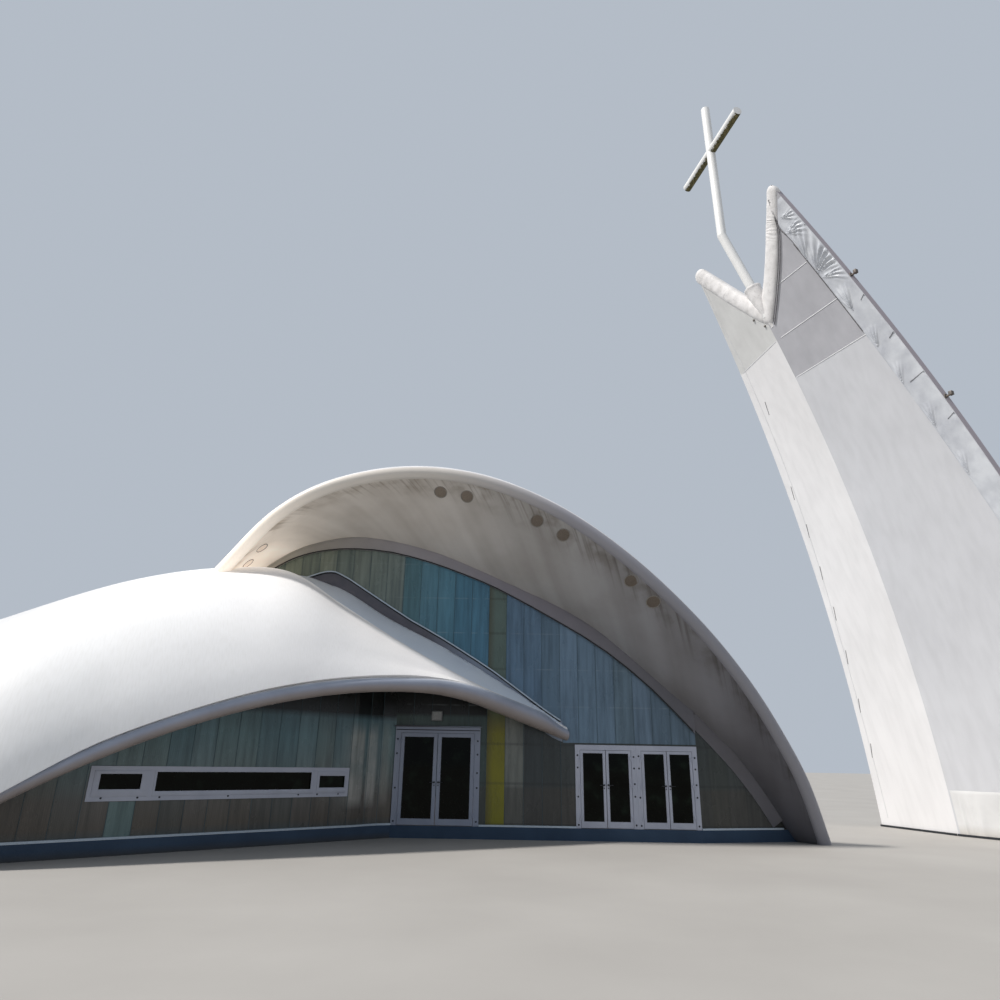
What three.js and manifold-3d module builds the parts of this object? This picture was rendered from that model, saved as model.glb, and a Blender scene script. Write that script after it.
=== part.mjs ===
import * as THREE from 'three';
import { mergeVertices } from 'three/addons/utils/BufferGeometryUtils.js';
import Module from 'manifold-3d';

const wasm = await Module();
wasm.setup();

// Driving dimensions, in millimetres. X runs along the front, Y to the back and Z up.
// Z is 0 at the lowest ground, and the origin is under the middle of the hall's floor.
const GAP = 0.4;
const FLOOR_TOP = 300;
const WALL_Y = -8000;
const WALL_THICK = 60;
const WALL_TURN_X = 6600;
const WALL_TURN_SLOPE = 0.28;
const WALL_TURN_REACH = 2750;
const BACK_WALL_SEAMS = [-6600, -2200, 2200, 6600];
const YELLOW_PANEL = [950, 1450];

const ROOF_THICK = 300;
const ROOF_CLEAR = ROOF_THICK / 2 + 2 * GAP;
const RIM_RADIUS = 170;
const RIM_FOOT_Y = -7865;
const RIM_LEAN = 0.35;
const RIM_CENTRE = 9000;
const RIM_STEPS = 36;
const RIM_ROOT = 400;
const ROOF_STEPS = 30;
const ROOF_ROWS = [0, 0.09, 0.18, 0.28, 0.39, 0.5];
const ROOF_SEAMS = [0, 5, 11, 19, 25, 30];
const ROOF_NAMES = ['left_foot', 'left_shoulder', 'crown', 'right_shoulder', 'right_foot'];

const WING_THICK = 240;
const WING_LEFT = new THREE.Vector2(-8860, -15060);
const WING_RIGHT = new THREE.Vector2(3100, -8030);
const WING_CREST = 3146;
const WING_CREST_AT = 9500;
const WING_FALL_LEFT = 9290;
const WING_FALL_RIGHT = 6300;
const WING_STRAIGHT_AT = 11300;
const WING_RIM_RADIUS = 170;
const WING_RIM_FAT = 240;
const WING_RIM_THIN = 150;
const WING_RIM_GROWS = [8500, 12300];
const WING_RIM_DIES = 12900;
const WING_RIM_STEPS = 30;
const WING_WALL_START = new THREE.Vector2(-8690, -14470);
const WING_WALL_END = new THREE.Vector2(-2408, -8817);
const WING_WALL_PAST = 900;
const WALL_CORNER = [[-2130, -8460], [-1850, -8190]];
const CORNER_TOP = 4350;

const WINDOW = { from: 2330, to: 8300, low: 1010, high: 1680 };
const WINDOW_BORDER = 90;
const WINDOW_POSTS = [1210, 5040];
const WINDOW_POST = 110;
const WINDOW_DEPTH = 90;
const WINDOW_PROUD = 25;
const WINDOW_REBATE = 30;

const DOOR_TALL = 2440;
const DOOR_LOW = 2054;
const DOORS = [
  { name: 'door_1', from: -1507, to: 783, height: DOOR_TALL, border: 150, stile: 95 },
  { name: 'door_2', from: 3330, to: 4965, height: DOOR_LOW, border: 130, stile: 70 },
  { name: 'door_3', from: 4966, to: 6600, height: DOOR_LOW, border: 130, stile: 70 },
];
const FRAME_DEPTH = 120;
const LEAF_DEPTH = 60;
const SIDE_GAP = 8;
const MEETING_GAP = 16;
const SILL_GAP = 12;
const FRAME_PROUD = 40;
const LEAF_PROUD = 34;
const HINGE_PROUD = 52;
const HINGE_RADIUS = 10;
const HINGE_LEAF = 45;
const KNUCKLE = 60;
const LEAF_RAIL = 150;
const PANE_DEPTH = 24;
const HINGE_LOW = 260;
const HINGE_HIGH = 220;
const LIGHT_BOX = { from: -560, to: -260, low: 2900, high: 3160, proud: 120 };
const PLINTH_PROUD = 60;
const BAND_THICK = 80;
const FLASHING = 30;

const TOWER_VALLEY = 16770;
const TOWER_LEFT_PEAK = 19750;
const TOWER_RIGHT_PEAK = 19950;
const TOWER_EDGE = 220;
const TOWER_FOLD = 800;
const TOWER_ROWS = 10;
const TOWER_COLUMNS = 3;
const CROSS_RADIUS = 165;

// Heights and distances beyond everything, where a cut has no limit of its own.
const FAR = 30000;
const TALL = 12000;
const UNDERGROUND = -1000;

// Outlines of the arches, as seen from the front: x and z of points from foot to foot.
const RIM_ARCH = [
  [-9800, 0], [-9250, 2250], [-8000, 4550], [-5970, 6800], [-4690, 8030], [-3400, 8720],
  [-1440, 9130], [530, 9010], [2510, 8350], [4500, 7150], [6490, 5450], [7830, 3950],
  [8770, 2600], [9410, 1480], [10000, 0],
];
const WALL_ARCH = [
  [-9450, 0], [-8950, 2300], [-7900, 4550], [-6500, 6500], [-5120, 7640], [-4150, 8030],
  [-2920, 8200], [-830, 7815], [1530, 6870], [3820, 5720], [6200, 3750], [8050, 1980], [9450, 0],
];
const MID_ARCH = [
  [-9100, 0], [-8600, 2100], [-7650, 4150], [-6400, 5800], [-5200, 6780], [-4200, 7250],
  [-2900, 7390], [-900, 7080], [1350, 6180], [3600, 4980], [5900, 3250], [7750, 1600], [9100, 0],
];

// Each station of the wing's roof: its lower edge, its top line and its far edge, and how round
// its front and back slopes are, from 0 for straight to 1 for a quarter of an ellipse.
const WING_TIP = [-15900, -10400, 0];
const WING_STATIONS = [
  { low: WING_TIP, top: WING_TIP, far: WING_TIP, front: 1, back: 1 },
  { low: [-14900, -12600, 0], top: [-14900, -9900, 2200], far: [-15100, -7300, 0], front: 1, back: 1 },
  { low: [-12300, -14500, 0], top: [-13200, -9400, 4000], far: [-13200, -4700, 0], front: 1, back: 1 },
  { along: 0, top: [-11000, -9000, 5300], far: [-10600, -2800, 0], front: 1, back: 1 },
  { along: 2800, top: [-8600, -8850, 6310], far: [-8300, -2300, 0], front: 0.95, back: 1 },
  { along: 5200, top: [-6500, -8750, 6740], far: [-6800, -3500, 2500], front: 0.85, back: 0.8 },
  { along: 6600, top: [-4730, -9000, 6645], far: [-5090, -7300, 6890], front: 0.75, back: 0.2 },
  { along: 8000, top: [-3170, -9300, 5750], far: [-3800, -7400, 6820], front: 0.6, back: 0 },
  { along: 9600, top: [-1435, -9550, 4705], far: [-2150, -7400, 5900], front: 0.4, back: 0 },
  { along: 11000, top: [210, -9300, 3865], far: [-400, -7400, 5085], front: 0.3, back: 0 },
  { along: 12400, top: [1750, -8700, 3240], far: [1200, -7400, 4150], front: 0.2, back: 0 },
  { along: 13870, top: [3060, -8000, 2700], far: [2900, -7400, 3100], front: 0.2, back: 0 },
];
const WING_STEPS = 36;
const WING_SLOPE_STEPS = 7;
const WING_CUTS = [-10200, -5600, -1700];
const WING_NAMES = ['left_end', 'left', 'middle', 'right'];

const COLOURS = {
  membrane: [0xf1f1ee, 0.55, 0], rim: [0xf4f4f2, 0.45, 0], panel: [0x6f8d93, 0.35, 0],
  yellow: [0xc9b53a, 0.4, 0], band: [0x5a5d60, 0.5, 0.4], flashing: [0x3d4147, 0.45, 0.5],
  frame: [0xd9dad8, 0.4, 0.3], glass: [0x1d2326, 0.1, 0], plinth: [0x3c4752, 0.6, 0.1],
  concrete: [0x9b9a96, 0.85, 0], lamp: [0x8b8d8e, 0.4, 0.5], cross: [0xe4e5e2, 0.45, 0.2],
};

const church = new THREE.Group();

function material(kind) {
  const [color, roughness, metalness] = COLOURS[kind];
  return new THREE.MeshStandardMaterial({ color, roughness, metalness });
}

function place(name, geometry, kind, group = church) {
  const mesh = new THREE.Mesh(geometry, material(kind));
  mesh.name = name;
  group.add(mesh);
  return mesh;
}

// Solids: a closed mesh becomes a solid that can be cut, and a cut solid a mesh again.
function solid(geometry) {
  let bare = geometry.clone();
  bare.deleteAttribute('normal');
  bare.deleteAttribute('uv');
  bare = mergeVertices(bare, 0.01);
  const index = bare.index.array;
  const kept = [];
  for (let i = 0; i < index.length; i += 3) {
    const [a, b, c] = [index[i], index[i + 1], index[i + 2]];
    if (a !== b && b !== c && c !== a) kept.push(a, b, c);
  }
  const mesh = new wasm.Mesh({
    numProp: 3,
    vertProperties: new Float32Array(bare.attributes.position.array),
    triVerts: new Uint32Array(kept),
  });
  return new wasm.Manifold(mesh);
}

function shape(body) {
  const mesh = body.getMesh();
  const geometry = new THREE.BufferGeometry();
  const position = new Float32Array(mesh.vertProperties);
  geometry.setAttribute('position', new THREE.BufferAttribute(position, 3));
  geometry.setIndex(new THREE.BufferAttribute(new Uint32Array(mesh.triVerts), 1));
  return geometry;
}

function largest(body) {
  const pieces = body.decompose();
  return pieces.reduce((best, piece) => (piece.volume() > best.volume() ? piece : best));
}

function block(x0, x1, y0, y1, z0, z1) {
  const geometry = new THREE.BoxGeometry(x1 - x0, y1 - y0, z1 - z0);
  geometry.translate((x0 + x1) / 2, (y0 + y1) / 2, (z0 + z1) / 2);
  return geometry;
}

// A wall piece: an outline of x and z, made thick towards the back from the plane y.
function upright(points, y, thick) {
  const outline = new THREE.Shape(points.map(([x, z]) => new THREE.Vector2(x, z)));
  const geometry = new THREE.ExtrudeGeometry(outline, { depth: thick, bevelEnabled: false });
  geometry.rotateX(Math.PI / 2);
  geometry.translate(0, y + thick, 0);
  return geometry;
}

function slab(points, low, high) {
  const outline = new THREE.Shape(points.map(([x, y]) => new THREE.Vector2(x, y)));
  const geometry = new THREE.ExtrudeGeometry(outline, { depth: high - low, bevelEnabled: false });
  geometry.translate(0, 0, low);
  return geometry;
}

// A closed skin between two grids of points of the same size.
function skin(outer, inner) {
  const rows = outer.length;
  const columns = outer[0].length;
  const points = [...outer.flat(), ...inner.flat()];
  const at = (side, i, j) => (side * rows + i) * columns + j;
  const faces = [];
  const quad = (a, b, c, d) => faces.push(a, b, c, a, c, d);
  for (let i = 0; i + 1 < rows; i += 1) {
    for (let j = 0; j + 1 < columns; j += 1) {
      quad(at(0, i, j), at(0, i + 1, j), at(0, i + 1, j + 1), at(0, i, j + 1));
      quad(at(1, i, j), at(1, i, j + 1), at(1, i + 1, j + 1), at(1, i + 1, j));
    }
    quad(at(0, i, 0), at(1, i, 0), at(1, i + 1, 0), at(0, i + 1, 0));
    const last = columns - 1;
    quad(at(0, i, last), at(0, i + 1, last), at(1, i + 1, last), at(1, i, last));
  }
  for (let j = 0; j + 1 < columns; j += 1) {
    quad(at(0, 0, j), at(0, 0, j + 1), at(1, 0, j + 1), at(1, 0, j));
    const last = rows - 1;
    quad(at(0, last, j), at(1, last, j), at(1, last, j + 1), at(0, last, j + 1));
  }
  const geometry = new THREE.BufferGeometry();
  const position = new Float32Array(points.flatMap((p) => [p.x, p.y, p.z]));
  geometry.setAttribute('position', new THREE.BufferAttribute(position, 3));
  geometry.setIndex(faces);
  return volume(geometry) > 0 ? geometry : turned(geometry);
}

function volume(geometry) {
  const { array } = geometry.attributes.position;
  const index = geometry.index.array;
  const corner = (k) => new THREE.Vector3(array[3 * k], array[3 * k + 1], array[3 * k + 2]);
  let total = 0;
  for (let i = 0; i < index.length; i += 3) {
    const [a, b, c] = [corner(index[i]), corner(index[i + 1]), corner(index[i + 2])];
    total += a.dot(b.cross(c));
  }
  return total;
}

function turned(geometry) {
  const index = Array.from(geometry.index.array);
  for (let i = 0; i < index.length; i += 3) {
    [index[i], index[i + 1]] = [index[i + 1], index[i]];
  }
  geometry.setIndex(index);
  return geometry;
}

// Moves each point of a grid along the surface's own normal, which points up or outwards.
function lifted(grid, distance, fallback) {
  const rows = grid.length;
  const columns = grid[0].length;
  return grid.map((row, i) => row.map((point, j) => {
    const before = grid[Math.max(i - 1, 0)][j];
    const after = grid[Math.min(i + 1, rows - 1)][j];
    const left = row[Math.max(j - 1, 0)];
    const right = row[Math.min(j + 1, columns - 1)];
    const normal = after.clone().sub(before).cross(right.clone().sub(left));
    if (normal.length() < 1) normal.copy(fallback);
    return point.clone().addScaledVector(normal.normalize(), distance);
  }));
}

function lowered(grid, z) {
  return grid.map((row) => row.map((point) => new THREE.Vector3(point.x, point.y, z)));
}

function curve(points) {
  return new THREE.CatmullRomCurve3(points, false, 'centripetal');
}

// Main roof: a shell lofted through the leaning rim arches, the wall arches and the middle arch.
function rimPoint([x, z], inset = 0) {
  const scale = 1 - inset / RIM_CENTRE;
  const height = z * scale;
  return new THREE.Vector3(x * scale, RIM_FOOT_Y - RIM_LEAN * height, height);
}

function wallPoint([x, z]) {
  const turn = Math.max(Math.abs(x) - WALL_TURN_X, 0);
  return new THREE.Vector3(x, WALL_Y + turn * WALL_TURN_SLOPE, z);
}

function arch(points) {
  return curve(points).getPoints(ROOF_STEPS);
}

function roofGrid(inset) {
  const rim = arch(RIM_ARCH.map((p) => rimPoint(p, RIM_RADIUS)));
  const wall = arch(WALL_ARCH.map(wallPoint));
  const middle = arch(MID_ARCH.map(([x, z]) => new THREE.Vector3(x, 0, z)));
  return rim.map((edge, i) => {
    const half = [];
    const along = rim[Math.min(i + 1, ROOF_STEPS)].clone().sub(rim[Math.max(i - 1, 0)]).normalize();
    const reach = wall[i].clone().sub(edge);
    const clear = reach.clone().addScaledVector(along, -reach.dot(along)).length();
    const start = edge.clone().lerp(wall[i], inset / clear);
    const across = curve([start, wall[i], middle[i], mirrored(wall[i]), mirrored(start)]);
    for (const t of ROOF_ROWS) half.push(across.getPoint(t));
    const back = half.slice(0, -1).reverse().map(mirrored);
    return [...half, ...back];
  });
}

function mirrored(point) {
  return new THREE.Vector3(point.x, -point.y, point.z);
}

const roofMiddle = roofGrid(RIM_RADIUS * 0.4);
const skyward = new THREE.Vector3(0, 0, 1);

function roofSide(grid, distance) {
  return ground(lifted(grid, distance, skyward), grid);
}

const roofAbove = roofSide(roofMiddle, ROOF_THICK / 2);
const roofBelow = roofSide(roofMiddle, -ROOF_THICK / 2);
const roofCut = solid(skin(roofSide(roofMiddle, ROOF_CLEAR), roofSide(roofMiddle, -ROOF_CLEAR)));
const underRoof = bodyBelow(roofSide(roofMiddle, -ROOF_THICK / 2 - GAP));
const hallOutside = bodyBelow(roofSide(roofMiddle, ROOF_THICK / 2 + GAP));

function bodyBelow(grid) {
  return solid(skin(grid, lowered(grid, UNDERGROUND)));
}

// Where the middle surface meets the ground, so do both of its faces.
function ground(grid, middle) {
  return grid.map((row, i) => row.map((point, j) => {
    if (middle[i][j].z > 1) return point;
    return new THREE.Vector3(point.x, point.y, 0);
  }));
}

function addRoof() {
  ROOF_NAMES.forEach((name, k) => {
    const first = ROOF_SEAMS[k];
    const last = ROOF_SEAMS[k + 1];
    const trim = (grid) => {
      const strip = grid.slice(first, last + 1).map((row) => row.map((p) => p.clone()));
      if (k > 0) pull(strip[0], strip[1]);
      return strip;
    };
    const strip = solid(skin(trim(roofAbove), trim(roofBelow)));
    place(`roof_${name}`, shape(largest(strip.subtract(rimCut).subtract(backRimCut))), 'membrane');
  });
}

// Opens a seam of GAP between two strips.
function pull(edge, next) {
  edge.forEach((point, j) => point.lerp(next[j], GAP / point.distanceTo(next[j])));
}

function ring(radius, sides) {
  const outline = new THREE.Shape();
  for (let k = 0; k < sides; k += 1) {
    const turn = (2 * Math.PI * (k + 0.5)) / sides;
    const [x, y] = [radius * Math.cos(turn), radius * Math.sin(turn)];
    if (k === 0) outline.moveTo(x, y);
    else outline.lineTo(x, y);
  }
  return outline;
}

function tube(path, radius, steps, sides = 8) {
  const settings = { extrudePath: path, steps, bevelEnabled: false };
  return new THREE.ExtrudeGeometry(ring(radius, sides), settings);
}

// The rim's centre line, run on into the ground at both feet.
function rimPath(flip = 1) {
  const points = RIM_ARCH.map((p) => rimPoint(p, RIM_RADIUS));
  const onwards = (end, before) => end.clone().add(end.clone().sub(before).setLength(RIM_ROOT));
  points.unshift(onwards(points[0], points[1]));
  points.push(onwards(points[points.length - 1], points[points.length - 2]));
  return curve(points.map((p) => new THREE.Vector3(p.x, p.y * flip, p.z)));
}

const rimCut = solid(tube(rimPath(), RIM_RADIUS + GAP, RIM_STEPS));
const rimClear = solid(tube(rimPath(), RIM_RADIUS + 3 * GAP, RIM_STEPS));
const backRimCut = solid(tube(rimPath(-1), RIM_RADIUS + GAP, RIM_STEPS));
const aboveGround = solid(block(-FAR, FAR, -FAR, FAR, 0, FAR));

function addRims() {
  const front = solid(tube(rimPath(), RIM_RADIUS, RIM_STEPS));
  place('front_rim', shape(front.intersect(aboveGround)), 'rim');
  const back = solid(tube(rimPath(-1), RIM_RADIUS, RIM_STEPS));
  place('back_rim', shape(back.intersect(aboveGround)), 'rim');
}

// Wing roof: a leaf-shaped shell with its tip on the ground at the left.
const wingRun = WING_RIGHT.clone().sub(WING_LEFT);
const wingLength = wingRun.length();
wingRun.normalize();

function rimHeight(along) {
  const bent = Math.min(along, WING_STRAIGHT_AT);
  const fall = bent < WING_CREST_AT ? WING_FALL_LEFT : WING_FALL_RIGHT;
  const part = (bent - WING_CREST_AT) / fall;
  const straight = (2 * part * (along - bent)) / fall;
  return FLOOR_TOP + WING_CREST * (1 - part * part - straight);
}

function rimRadius(along) {
  const grow = THREE.MathUtils.smoothstep(along, ...WING_RIM_GROWS);
  const die = THREE.MathUtils.smoothstep(along, WING_RIM_DIES, wingLength);
  const radius = THREE.MathUtils.lerp(WING_RIM_RADIUS, WING_RIM_FAT, grow);
  return THREE.MathUtils.lerp(radius, WING_RIM_THIN, die);
}

function wingEdge(along) {
  const spot = WING_LEFT.clone().addScaledVector(wingRun, along);
  return new THREE.Vector3(spot.x, spot.y, Math.max(rimHeight(along), 0) + rimRadius(along));
}

function station({ low, along, top, far, front, back }) {
  const edge = low ? new THREE.Vector3(...low) : wingEdge(along);
  return { low: edge, top: new THREE.Vector3(...top), far: new THREE.Vector3(...far), front, back };
}

// One slope from an edge up to the top line, t from 0 at the edge to 1 at the top.
function slope(edge, top, round, t) {
  const angle = (t * Math.PI) / 2;
  const flat = THREE.MathUtils.lerp(t, 1 - Math.cos(angle), round);
  const rise = THREE.MathUtils.lerp(t, Math.sin(angle), round);
  const x = THREE.MathUtils.lerp(edge.x, top.x, flat);
  const y = THREE.MathUtils.lerp(edge.y, top.y, flat);
  return new THREE.Vector3(x, y, THREE.MathUtils.lerp(edge.z, top.z, rise));
}

function wingGrid() {
  const stations = WING_STATIONS.map(station);
  const line = (key) => curve(stations.map((s) => s[key]));
  const amount = (key) => curve(stations.map((s, i) => new THREE.Vector3(i, s[key], 0)));
  const [low, top, far] = [line('low'), line('top'), line('far')];
  const [front, back] = [amount('front'), amount('back')];
  const rows = [];
  for (let i = 0; i <= WING_STEPS; i += 1) {
    const u = i / WING_STEPS;
    const [edge, crest, end] = [low.getPoint(u), top.getPoint(u), far.getPoint(u)];
    const row = [];
    const reach = Math.hypot(crest.x - edge.x, crest.y - edge.y, crest.z - edge.z);
    const clear = i === 0 || edge.x < WING_LEFT.x ? 0 : Math.min(WING_RIM_THIN / reach, 0.3);
    for (let j = 0; j < WING_SLOPE_STEPS; j += 1) {
      const t = clear + ((1 - clear) * j) / WING_SLOPE_STEPS;
      row.push(slope(edge, crest, front.getPoint(u).y, t));
    }
    for (let j = WING_SLOPE_STEPS; j >= 0; j -= 1) {
      row.push(slope(end, crest, back.getPoint(u).y, j / WING_SLOPE_STEPS));
    }
    rows.push(row);
  }
  return rows;
}

const wingMiddle = wingGrid();
const tipOut = new THREE.Vector3(-1, 0, 0);

function wingSide(distance) {
  return ground(lifted(wingMiddle, distance, tipOut), wingMiddle);
}

const wingClear = bodyBelow(wingSide(-WING_THICK / 2 - GAP));
const wingMarks = 14;
const wingMark = (k) => wingEdge((wingLength * k) / wingMarks);
const wingPath = curve(Array.from({ length: wingMarks + 1 }, (_, k) => wingMark(k)));

// The low rim: a tube whose radius grows towards the hall and dies away at its glass.
function wingRim(extra) {
  const rows = [];
  const sides = 8;
  const along = new THREE.Vector3(wingRun.x, wingRun.y, 0);
  const out = new THREE.Vector3(along.y, -along.x, 0);
  for (let i = 0; i <= WING_RIM_STEPS; i += 1) {
    const centre = wingPath.getPoint(i / WING_RIM_STEPS);
    if (i === 0) centre.addScaledVector(along, -extra);
    if (i === WING_RIM_STEPS) centre.addScaledVector(along, extra);
    const radius = rimRadius((wingLength * i) / WING_RIM_STEPS) + extra;
    const row = [];
    for (let k = 0; k < sides; k += 1) {
      const turn = (2 * Math.PI * (k + 0.5)) / sides;
      const spot = centre.clone().addScaledVector(out, radius * Math.cos(turn));
      spot.z += radius * Math.sin(turn);
      row.push(spot);
    }
    rows.push(row);
  }
  return rows;
}

function sleeve(rows) {
  const sides = rows[0].length;
  const points = rows.flat();
  const faces = [];
  for (let i = 0; i + 1 < rows.length; i += 1) {
    for (let k = 0; k < sides; k += 1) {
      const next = (k + 1) % sides;
      const [a, b] = [i * sides + k, i * sides + next];
      const [c, d] = [a + sides, b + sides];
      faces.push(a, b, d, a, d, c);
    }
  }
  const end = (rows.length - 1) * sides;
  for (let k = 1; k + 1 < sides; k += 1) {
    faces.push(0, k + 1, k, end, end + k, end + k + 1);
  }
  const geometry = new THREE.BufferGeometry();
  const position = new Float32Array(points.flatMap((p) => [p.x, p.y, p.z]));
  geometry.setAttribute('position', new THREE.BufferAttribute(position, 3));
  geometry.setIndex(faces);
  return volume(geometry) > 0 ? geometry : turned(geometry);
}

const hallFront = WALL_Y - FLASHING - GAP;
const beforeHall = solid(block(-FAR, FAR, -FAR, hallFront, 0, FAR));
const behindFront = solid(block(-FAR, FAR, hallFront, FAR, UNDERGROUND / 2, FAR));

function addWing() {
  const rim = solid(sleeve(wingRim(0)));
  let roof = solid(skin(wingSide(WING_THICK / 2), wingSide(-WING_THICK / 2)));
  roof = roof.intersect(aboveGround).subtract(solid(sleeve(wingRim(2 * GAP))));
  roof = roof.subtract(roofCut).subtract(underRoof.intersect(behindFront));
  roof = largest(roof.subtract(rimClear));
  place('wing_rim', shape(largest(rim.intersect(beforeHall).subtract(roofCut))), 'rim');
  const edges = [-FAR, ...WING_CUTS, FAR];
  WING_NAMES.forEach((name, k) => {
    const part = roof.intersect(solid(block(edges[k] + GAP, edges[k + 1], -FAR, FAR, 0, FAR)));
    place(`wing_roof_${name}`, shape(largest(part)), 'membrane');
  });
}

// Glazed walls. Each piece is cut to fit below the shell that it carries.
function wallBetween(x0, x1, low, y = WALL_Y) {
  const outline = [[x0 + GAP, low], [x1, low], [x1, TALL], [x0 + GAP, TALL]];
  return upright(outline, y, WALL_THICK);
}

function underHall(geometry) {
  return shape(largest(solid(geometry).intersect(underRoof)));
}

function addFrontWall() {
  const [first, second, third] = DOORS;
  const overWing = [
    [-6500, 6150], [-4200, 6250], [-2800, 5450], [first.from, 4700], [first.from, TALL], [-6500, TALL],
  ];
  place('front_wall_over_wing', underHall(upright(overWing, WALL_Y, WALL_THICK)), 'panel');
  const head = (door) => FLOOR_TOP + door.height + GAP;
  place('front_wall_over_door_1', underHall(wallBetween(first.from, first.to, head(first))), 'panel');
  const [yellow, plain] = YELLOW_PANEL;
  place('front_wall_left_bay', underHall(wallBetween(first.to, yellow, FLOOR_TOP + GAP)), 'panel');
  place('front_wall_yellow_panel', underHall(wallBetween(yellow, plain, FLOOR_TOP + GAP)), 'yellow');
  place('front_wall_middle', underHall(wallBetween(plain, second.from, FLOOR_TOP + GAP)), 'panel');
  place('front_wall_over_doors_2_3', underHall(wallBetween(second.from, third.to, head(second))), 'panel');
  place('front_wall_right', sideWall(1), 'panel');
}

// The wall beyond the turn: it draws back from the front to the rim's foot.
function sideWall(flipX, flipY = 1) {
  const start = WALL_TURN_X + GAP;
  const end = start + WALL_TURN_REACH;
  const back = WALL_Y + WALL_TURN_REACH * WALL_TURN_SLOPE;
  const plan = [
    [start, WALL_Y], [end, back], [end, back + WALL_THICK], [start, WALL_Y + WALL_THICK],
  ].map(([x, y]) => [x * flipX, y * flipY]);
  return underHall(slab(plan, FLOOR_TOP + GAP, TALL));
}

function addBackWall() {
  const y = -WALL_Y - WALL_THICK;
  ['left', 'middle', 'right'].forEach((name, k) => {
    const piece = wallBetween(BACK_WALL_SEAMS[k], BACK_WALL_SEAMS[k + 1], FLOOR_TOP + GAP, y);
    place(`back_wall_${name}`, underHall(piece), 'panel');
  });
  place('back_wall_left_end', sideWall(-1, -1), 'panel');
  place('back_wall_right_end', sideWall(1, -1), 'panel');
}

// The dark band between the glass and the soffit, front and back.
const GLASS_TOP = [
  [-5620, 6820], [-5350, 7050], [-4820, 7370], [-4090, 7600], [-3160, 7695], [-2030, 7620],
  [-820, 7330], [350, 6920], [1260, 6530], [2600, 5820], [4080, 4950], [5400, 3900], [6590, 2680],
];

function addBands() {
  const lower = spline(GLASS_TOP, 26);
  const [right] = lower[lower.length - 1];
  const outline = [...lower, [right, TALL], [lower[0][0], TALL]];
  const front = solid(upright(outline, WALL_Y - BAND_THICK, BAND_THICK - GAP)).intersect(underRoof);
  const wingCovers = bodyBelow(wingSide(WING_THICK / 2 + GAP));
  place('head_band_front', shape(largest(front.subtract(wingCovers))), 'band');
  place('head_band_back', underHall(upright(outline, -WALL_Y + GAP, BAND_THICK - GAP)), 'band');
}

function spline(points, steps) {
  const line = new THREE.SplineCurve(points.map(([x, z]) => new THREE.Vector2(x, z)));
  return line.getPoints(steps).map((p) => [p.x, p.y]);
}

// The folded sheet over the joint of the wing's roof and the glass.
const DRIP = [
  [-6400, 6720], [-5200, 6780], [-4550, 6800], [-4190, 6905], [-3780, 7030], [-3380, 6950], [-2500, 6410],
  [-1350, 5690], [-550, 5260], [270, 4775], [1065, 4285], [1850, 3730], [2620, 3185], [3000, 2955],
];
const JOINT = [
  [-6400, 6250], [-4400, 6350], [-3960, 6300], [-2820, 5600], [-1890, 5150], [-600, 4450], [490, 3950],
  [1330, 3500], [1900, 3080], [2670, 2560], [3000, 2420],
];

function addFlashing() {
  const outline = [...spline(DRIP, 22), ...spline(JOINT, 22).reverse()];
  const sheet = solid(upright(outline, WALL_Y - FLASHING, FLASHING - GAP));
  place('flashing_panel', shape(largest(sheet.intersect(underRoof))), 'flashing');
}

// Wing wall, with the strip window cut through it.
const wallRun = WING_WALL_END.clone().sub(WING_WALL_START);
const wallLength = wallRun.length();
const wallTurn = Math.atan2(wallRun.y, wallRun.x);

function underWing(body) {
  return shape(largest(body.intersect(wingClear)));
}

function alongWing(geometry) {
  geometry.rotateZ(wallTurn);
  geometry.translate(WING_WALL_START.x, WING_WALL_START.y, 0);
  return geometry;
}

function wingPiece(from, to, low, high) {
  return solid(alongWing(block(from + GAP, to, 0, WALL_THICK, low, high)));
}

function addWingWall() {
  const base = FLOOR_TOP + GAP;
  place('wing_wall_left', underWing(wingPiece(-WING_WALL_PAST, WINDOW.from, base, TALL)), 'panel');
  const below = wingPiece(WINDOW.from, WINDOW.to, base, WINDOW.low - GAP);
  place('wing_wall_below_window', underWing(below), 'panel');
  const above = wingPiece(WINDOW.from, WINDOW.to, WINDOW.high + GAP, TALL);
  place('wing_wall_above_window', underWing(above), 'panel');
  place('wing_wall_right', underWing(wingPiece(WINDOW.to, wallLength, base, TALL)), 'panel');
  const start = [WING_WALL_END.x, WING_WALL_END.y];
  const line = [start, ...WALL_CORNER, [DOORS[0].from - GAP, WALL_Y]];
  const corner = solid(slab(band(line, WALL_THICK), base, TALL));
  const straight = wingPiece(0, wallLength + GAP, 0, TALL);
  const sheet = solid(block(start[0] - WALL_THICK, DOORS[0].from, hallFront, -WALL_Y, CORNER_TOP, TALL));
  place('wing_wall_corner', underWing(corner.subtract(straight).subtract(sheet)), 'panel');
}

// An outline in plan, thick on the left-hand side of a line of points.
function band(line, thick) {
  const inner = line.map((point, k) => {
    const before = line[Math.max(k - 1, 0)];
    const after = line[Math.min(k + 1, line.length - 1)];
    const way = new THREE.Vector2(after[0] - before[0], after[1] - before[1]).normalize();
    return [point[0] - way.y * thick, point[1] + way.x * thick];
  });
  return [...line, ...inner.reverse()];
}

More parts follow.
